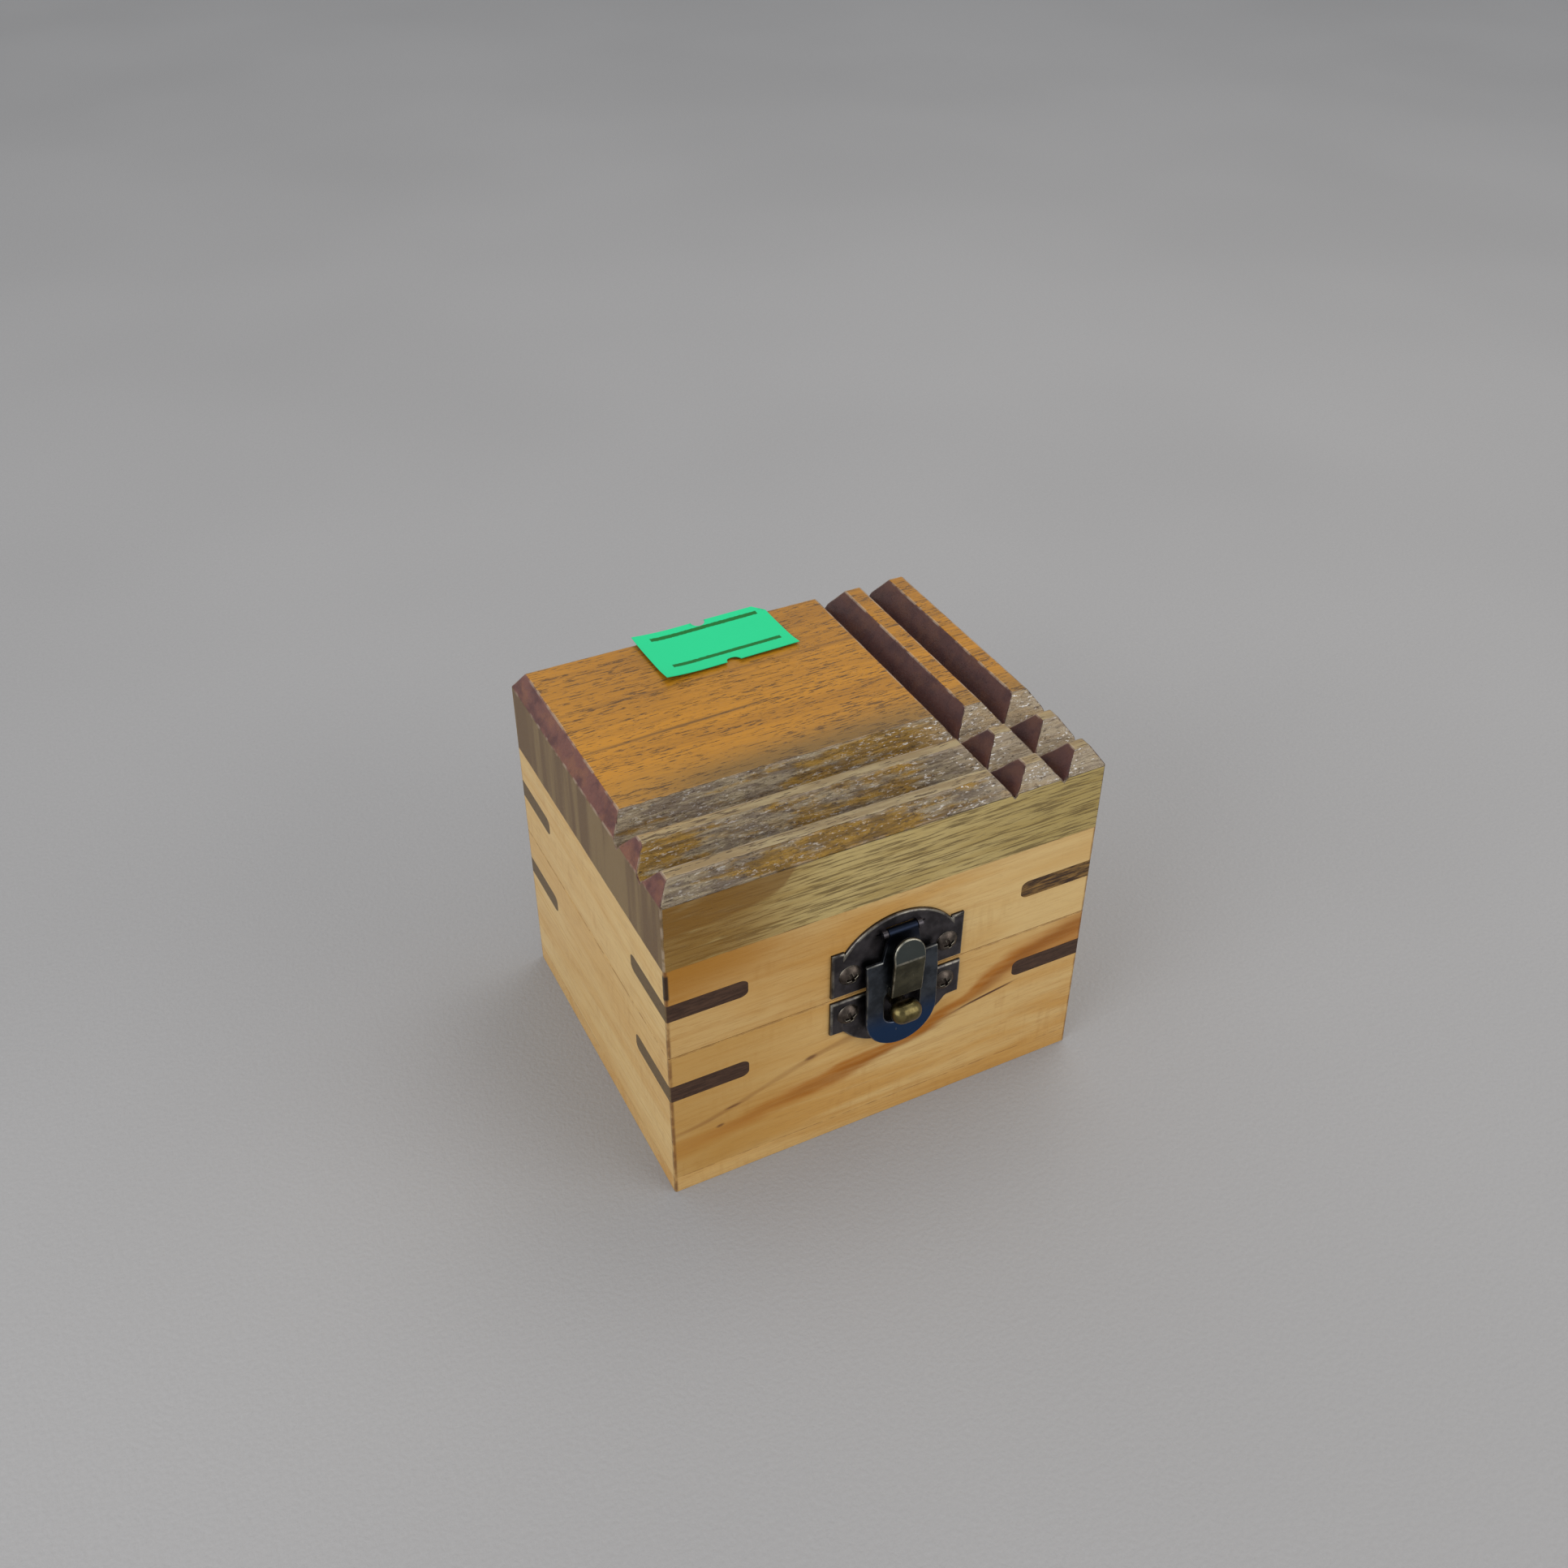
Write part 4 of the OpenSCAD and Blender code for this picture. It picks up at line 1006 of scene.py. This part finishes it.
def stick_label(look):
    """The paper label: turned a little, with its left, front and rear edges curling up."""
    shape = merged_copy("paper_label")
    cut_grid(shape, LABEL_STEP, LABEL_LOW, LABEL_HIGH, lambda face: abs(face.normal.z) > 0.5)
    size = LABEL_HIGH - LABEL_LOW
    middle = (LABEL_HIGH + LABEL_LOW) / 2
    layout = shape.loops.layers.uv.new("layout")
    for face in shape.faces:
        for loop in face.loops:
            away = loop.vert.co - LABEL_LOW
            loop[layout].uv = (away.x / size.x, away.y / size.y)
    for vert in shape.verts:
        across = (vert.co.x - LABEL_LOW.x) / size.x
        up = (vert.co.y - LABEL_LOW.y) / size.y
        left = max(0, 1 - across / 0.3) ** 2
        front = max(0, 1 - up / 0.35) ** 2
        rear = max(0, (up - 0.7) / 0.3) ** 2
        wave = 0.06 * noise.noise(vert.co / (6 * MM)) + 0.06
        vert.co.z += look.lift * (0.8 * left + 0.7 * front + 0.45 * rear + wave)
    turn = Matrix.Translation(middle) @ Matrix.Rotation(look.turn, 4, "Z") @ Matrix.Translation(-middle)
    bmesh.ops.transform(shape, matrix=turn, verts=shape.verts)
    as_piece(shape, "paper_label", green_paper(look), crease=60)


def add_light(name, power, size, place, colour):
    """A soft square lamp that points at the box."""
    lamp = bpy.data.lights.new(name, "AREA")
    lamp.energy = power
    lamp.size = size
    lamp.color = colour
    holder = placed(name, lamp)
    holder.location = place
    holder.rotation_euler = (LOOK_AT - place).to_track_quat("-Z", "Y").to_euler()


def set_stage(look):
    """Floor, lights, sky and camera."""
    ground = bmesh.new()
    bmesh.ops.create_circle(ground, cap_ends=True, segments=96, radius=FLOOR_RADIUS)
    bmesh.ops.translate(ground, vec=Vector((0, 0, -FLOOR_DROP)), verts=ground.verts)
    mesh = bpy.data.meshes.new("floor")
    ground.to_mesh(mesh)
    ground.free()
    mesh.materials.append(cloth_floor(look))
    placed("floor", mesh)

    for name, power, size, place, colour in LAMPS:
        add_light(name, getattr(look, power), size, Vector(place), colour)

    world = bpy.data.worlds.new("soft_sky")
    world.use_nodes = True
    background = world.node_tree.nodes["Background"]
    background.inputs["Color"].default_value = (*look.sky, 1)
    background.inputs["Strength"].default_value = look.sky_strength
    bpy.context.scene.world = world

    lens = bpy.data.cameras.new("camera")
    lens.lens = LENS_MM
    lens.sensor_width = SENSOR_MM
    lens.clip_start = NEAR_CLIP
    camera = placed("camera", lens)
    heading = Matrix.Rotation(CAMERA_HEADING, 4, "Z")
    pitch = Matrix.Rotation(CAMERA_TIP, 4, "X")
    roll = Matrix.Rotation(CAMERA_ROLL, 4, "Z")
    place = Matrix.Translation(CAMERA_PLACE)
    camera.matrix_world = place @ heading @ pitch @ roll
    bpy.context.scene.camera = camera
    bpy.context.scene.view_settings.view_transform = "Standard"


# ---- operators, panel and registration ----


class KEEPSAKE_OT_carve_slab(Operator):
    """Carve the lid's walnut slab"""

    bl_idname = "keepsake.carve_slab"
    bl_label = "Carve the lid slab"

    def execute(self, context):
        carve_slab(context.scene.keepsake_wood)
        return {"FINISHED"}


class KEEPSAKE_OT_join_lid(Operator):
    """Finish the four rails of the lid's frame"""

    bl_idname = "keepsake.join_lid"
    bl_label = "Join the lid frame"

    def execute(self, context):
        rails = (
            ("lid_front_rail", "X", {"ends_warm": True}),
            ("lid_back_rail", "X", {}),
            ("lid_left_rail", "Y", {"figured": 0.45}),
            ("lid_right_rail", "Y", {"figured": 0.6}),
        )
        finish_boards(rails, context.scene.keepsake_wood, ((LID_BOTTOM, -1),))
        return {"FINISHED"}


class KEEPSAKE_OT_join_base(Operator):
    """Finish the four boards of the base and its bottom panel"""

    bl_idname = "keepsake.join_base"
    bl_label = "Join the base"

    def execute(self, context):
        boards = (
            ("base_front_board", "X", {"heart": True}),
            ("base_back_board", "X", {}),
            ("base_left_board", "Y", {"figured": 0.5}),
            ("base_right_board", "Y", {"figured": 0.6}),
        )
        wood = context.scene.keepsake_wood
        finish_boards(boards, wood, ((BASE_TOP, 1),))
        finish_boards((("bottom_panel", "X", {"honeyed": 0.45}),), wood, ((PANEL_LOW.z, -1),))
        return {"FINISHED"}


class KEEPSAKE_OT_set_splines(Operator):
    """Set the dark splines across the corners"""

    bl_idname = "keepsake.set_splines"
    bl_label = "Set the splines"

    def execute(self, context):
        set_splines(context.scene.keepsake_wood)
        return {"FINISHED"}


class KEEPSAKE_OT_fit_latch(Operator):
    """Fit the latch's plates, hasp and catch post"""

    bl_idname = "keepsake.fit_latch"
    bl_label = "Fit the latch"

    def execute(self, context):
        fit_latch(context.scene.keepsake_metal)
        return {"FINISHED"}


class KEEPSAKE_OT_drive_screws(Operator):
    """Drive the screws of the latch and the hinges"""

    bl_idname = "keepsake.drive_screws"
    bl_label = "Drive the screws"

    def execute(self, context):
        drive_screws(context.scene.keepsake_metal)
        return {"FINISHED"}


class KEEPSAKE_OT_hang_hinges(Operator):
    """Hang the lid on its two hinges"""

    bl_idname = "keepsake.hang_hinges"
    bl_label = "Hang the hinges"

    def execute(self, context):
        hang_hinges(context.scene.keepsake_metal)
        return {"FINISHED"}


class KEEPSAKE_OT_stick_label(Operator):
    """Stick the paper label on the lid"""

    bl_idname = "keepsake.stick_label"
    bl_label = "Stick the label"

    def execute(self, context):
        stick_label(context.scene.keepsake_label)
        return {"FINISHED"}


class KEEPSAKE_OT_set_stage(Operator):
    """Set the floor, lights and camera"""

    bl_idname = "keepsake.set_stage"
    bl_label = "Set the stage"

    def execute(self, context):
        set_stage(context.scene.keepsake_stage)
        return {"FINISHED"}


STEPS = {
    "carve_slab": KEEPSAKE_OT_carve_slab,
    "join_lid": KEEPSAKE_OT_join_lid,
    "join_base": KEEPSAKE_OT_join_base,
    "set_splines": KEEPSAKE_OT_set_splines,
    "fit_latch": KEEPSAKE_OT_fit_latch,
    "drive_screws": KEEPSAKE_OT_drive_screws,
    "hang_hinges": KEEPSAKE_OT_hang_hinges,
    "stick_label": KEEPSAKE_OT_stick_label,
    "set_stage": KEEPSAKE_OT_set_stage,
}
SETTINGS = {
    "keepsake_wood": KeepsakeWood,
    "keepsake_metal": KeepsakeMetal,
    "keepsake_label": KeepsakeLabel,
    "keepsake_stage": KeepsakeStage,
}


class KEEPSAKE_PT_sidebar(Panel):
    """Steps and settings of the keepsake box"""

    bl_idname = "KEEPSAKE_PT_sidebar"
    bl_label = "Keepsake Box"
    bl_space_type = "VIEW_3D"
    bl_region_type = "UI"
    bl_category = "Keepsake Box"

    def draw(self, context):
        for step in STEPS:
            self.layout.operator("keepsake." + step)
        for group_name in SETTINGS:
            group = getattr(context.scene, group_name)
            box = self.layout.box()
            for setting in group.bl_rna.properties:
                if setting.identifier not in ("rna_type", "name"):
                    box.prop(group, setting.identifier)


CLASSES = (*SETTINGS.values(), *STEPS.values(), KEEPSAKE_PT_sidebar)


def register():
    """Adds the settings, operators and panel."""
    for each in CLASSES:
        bpy.utils.register_class(each)
    for name, group in SETTINGS.items():
        setattr(bpy.types.Scene, name, PointerProperty(type=group))


def unregister():
    """Takes the settings, operators and panel away."""
    for name in SETTINGS:
        delattr(bpy.types.Scene, name)
    for each in reversed(CLASSES):
        bpy.utils.unregister_class(each)


def main():
    """Builds every piece in order."""
    register()
    for step in STEPS:
        getattr(bpy.ops.keepsake, step)()
    bpy.context.view_layer.update()


if __name__ == "__main__":
    main()
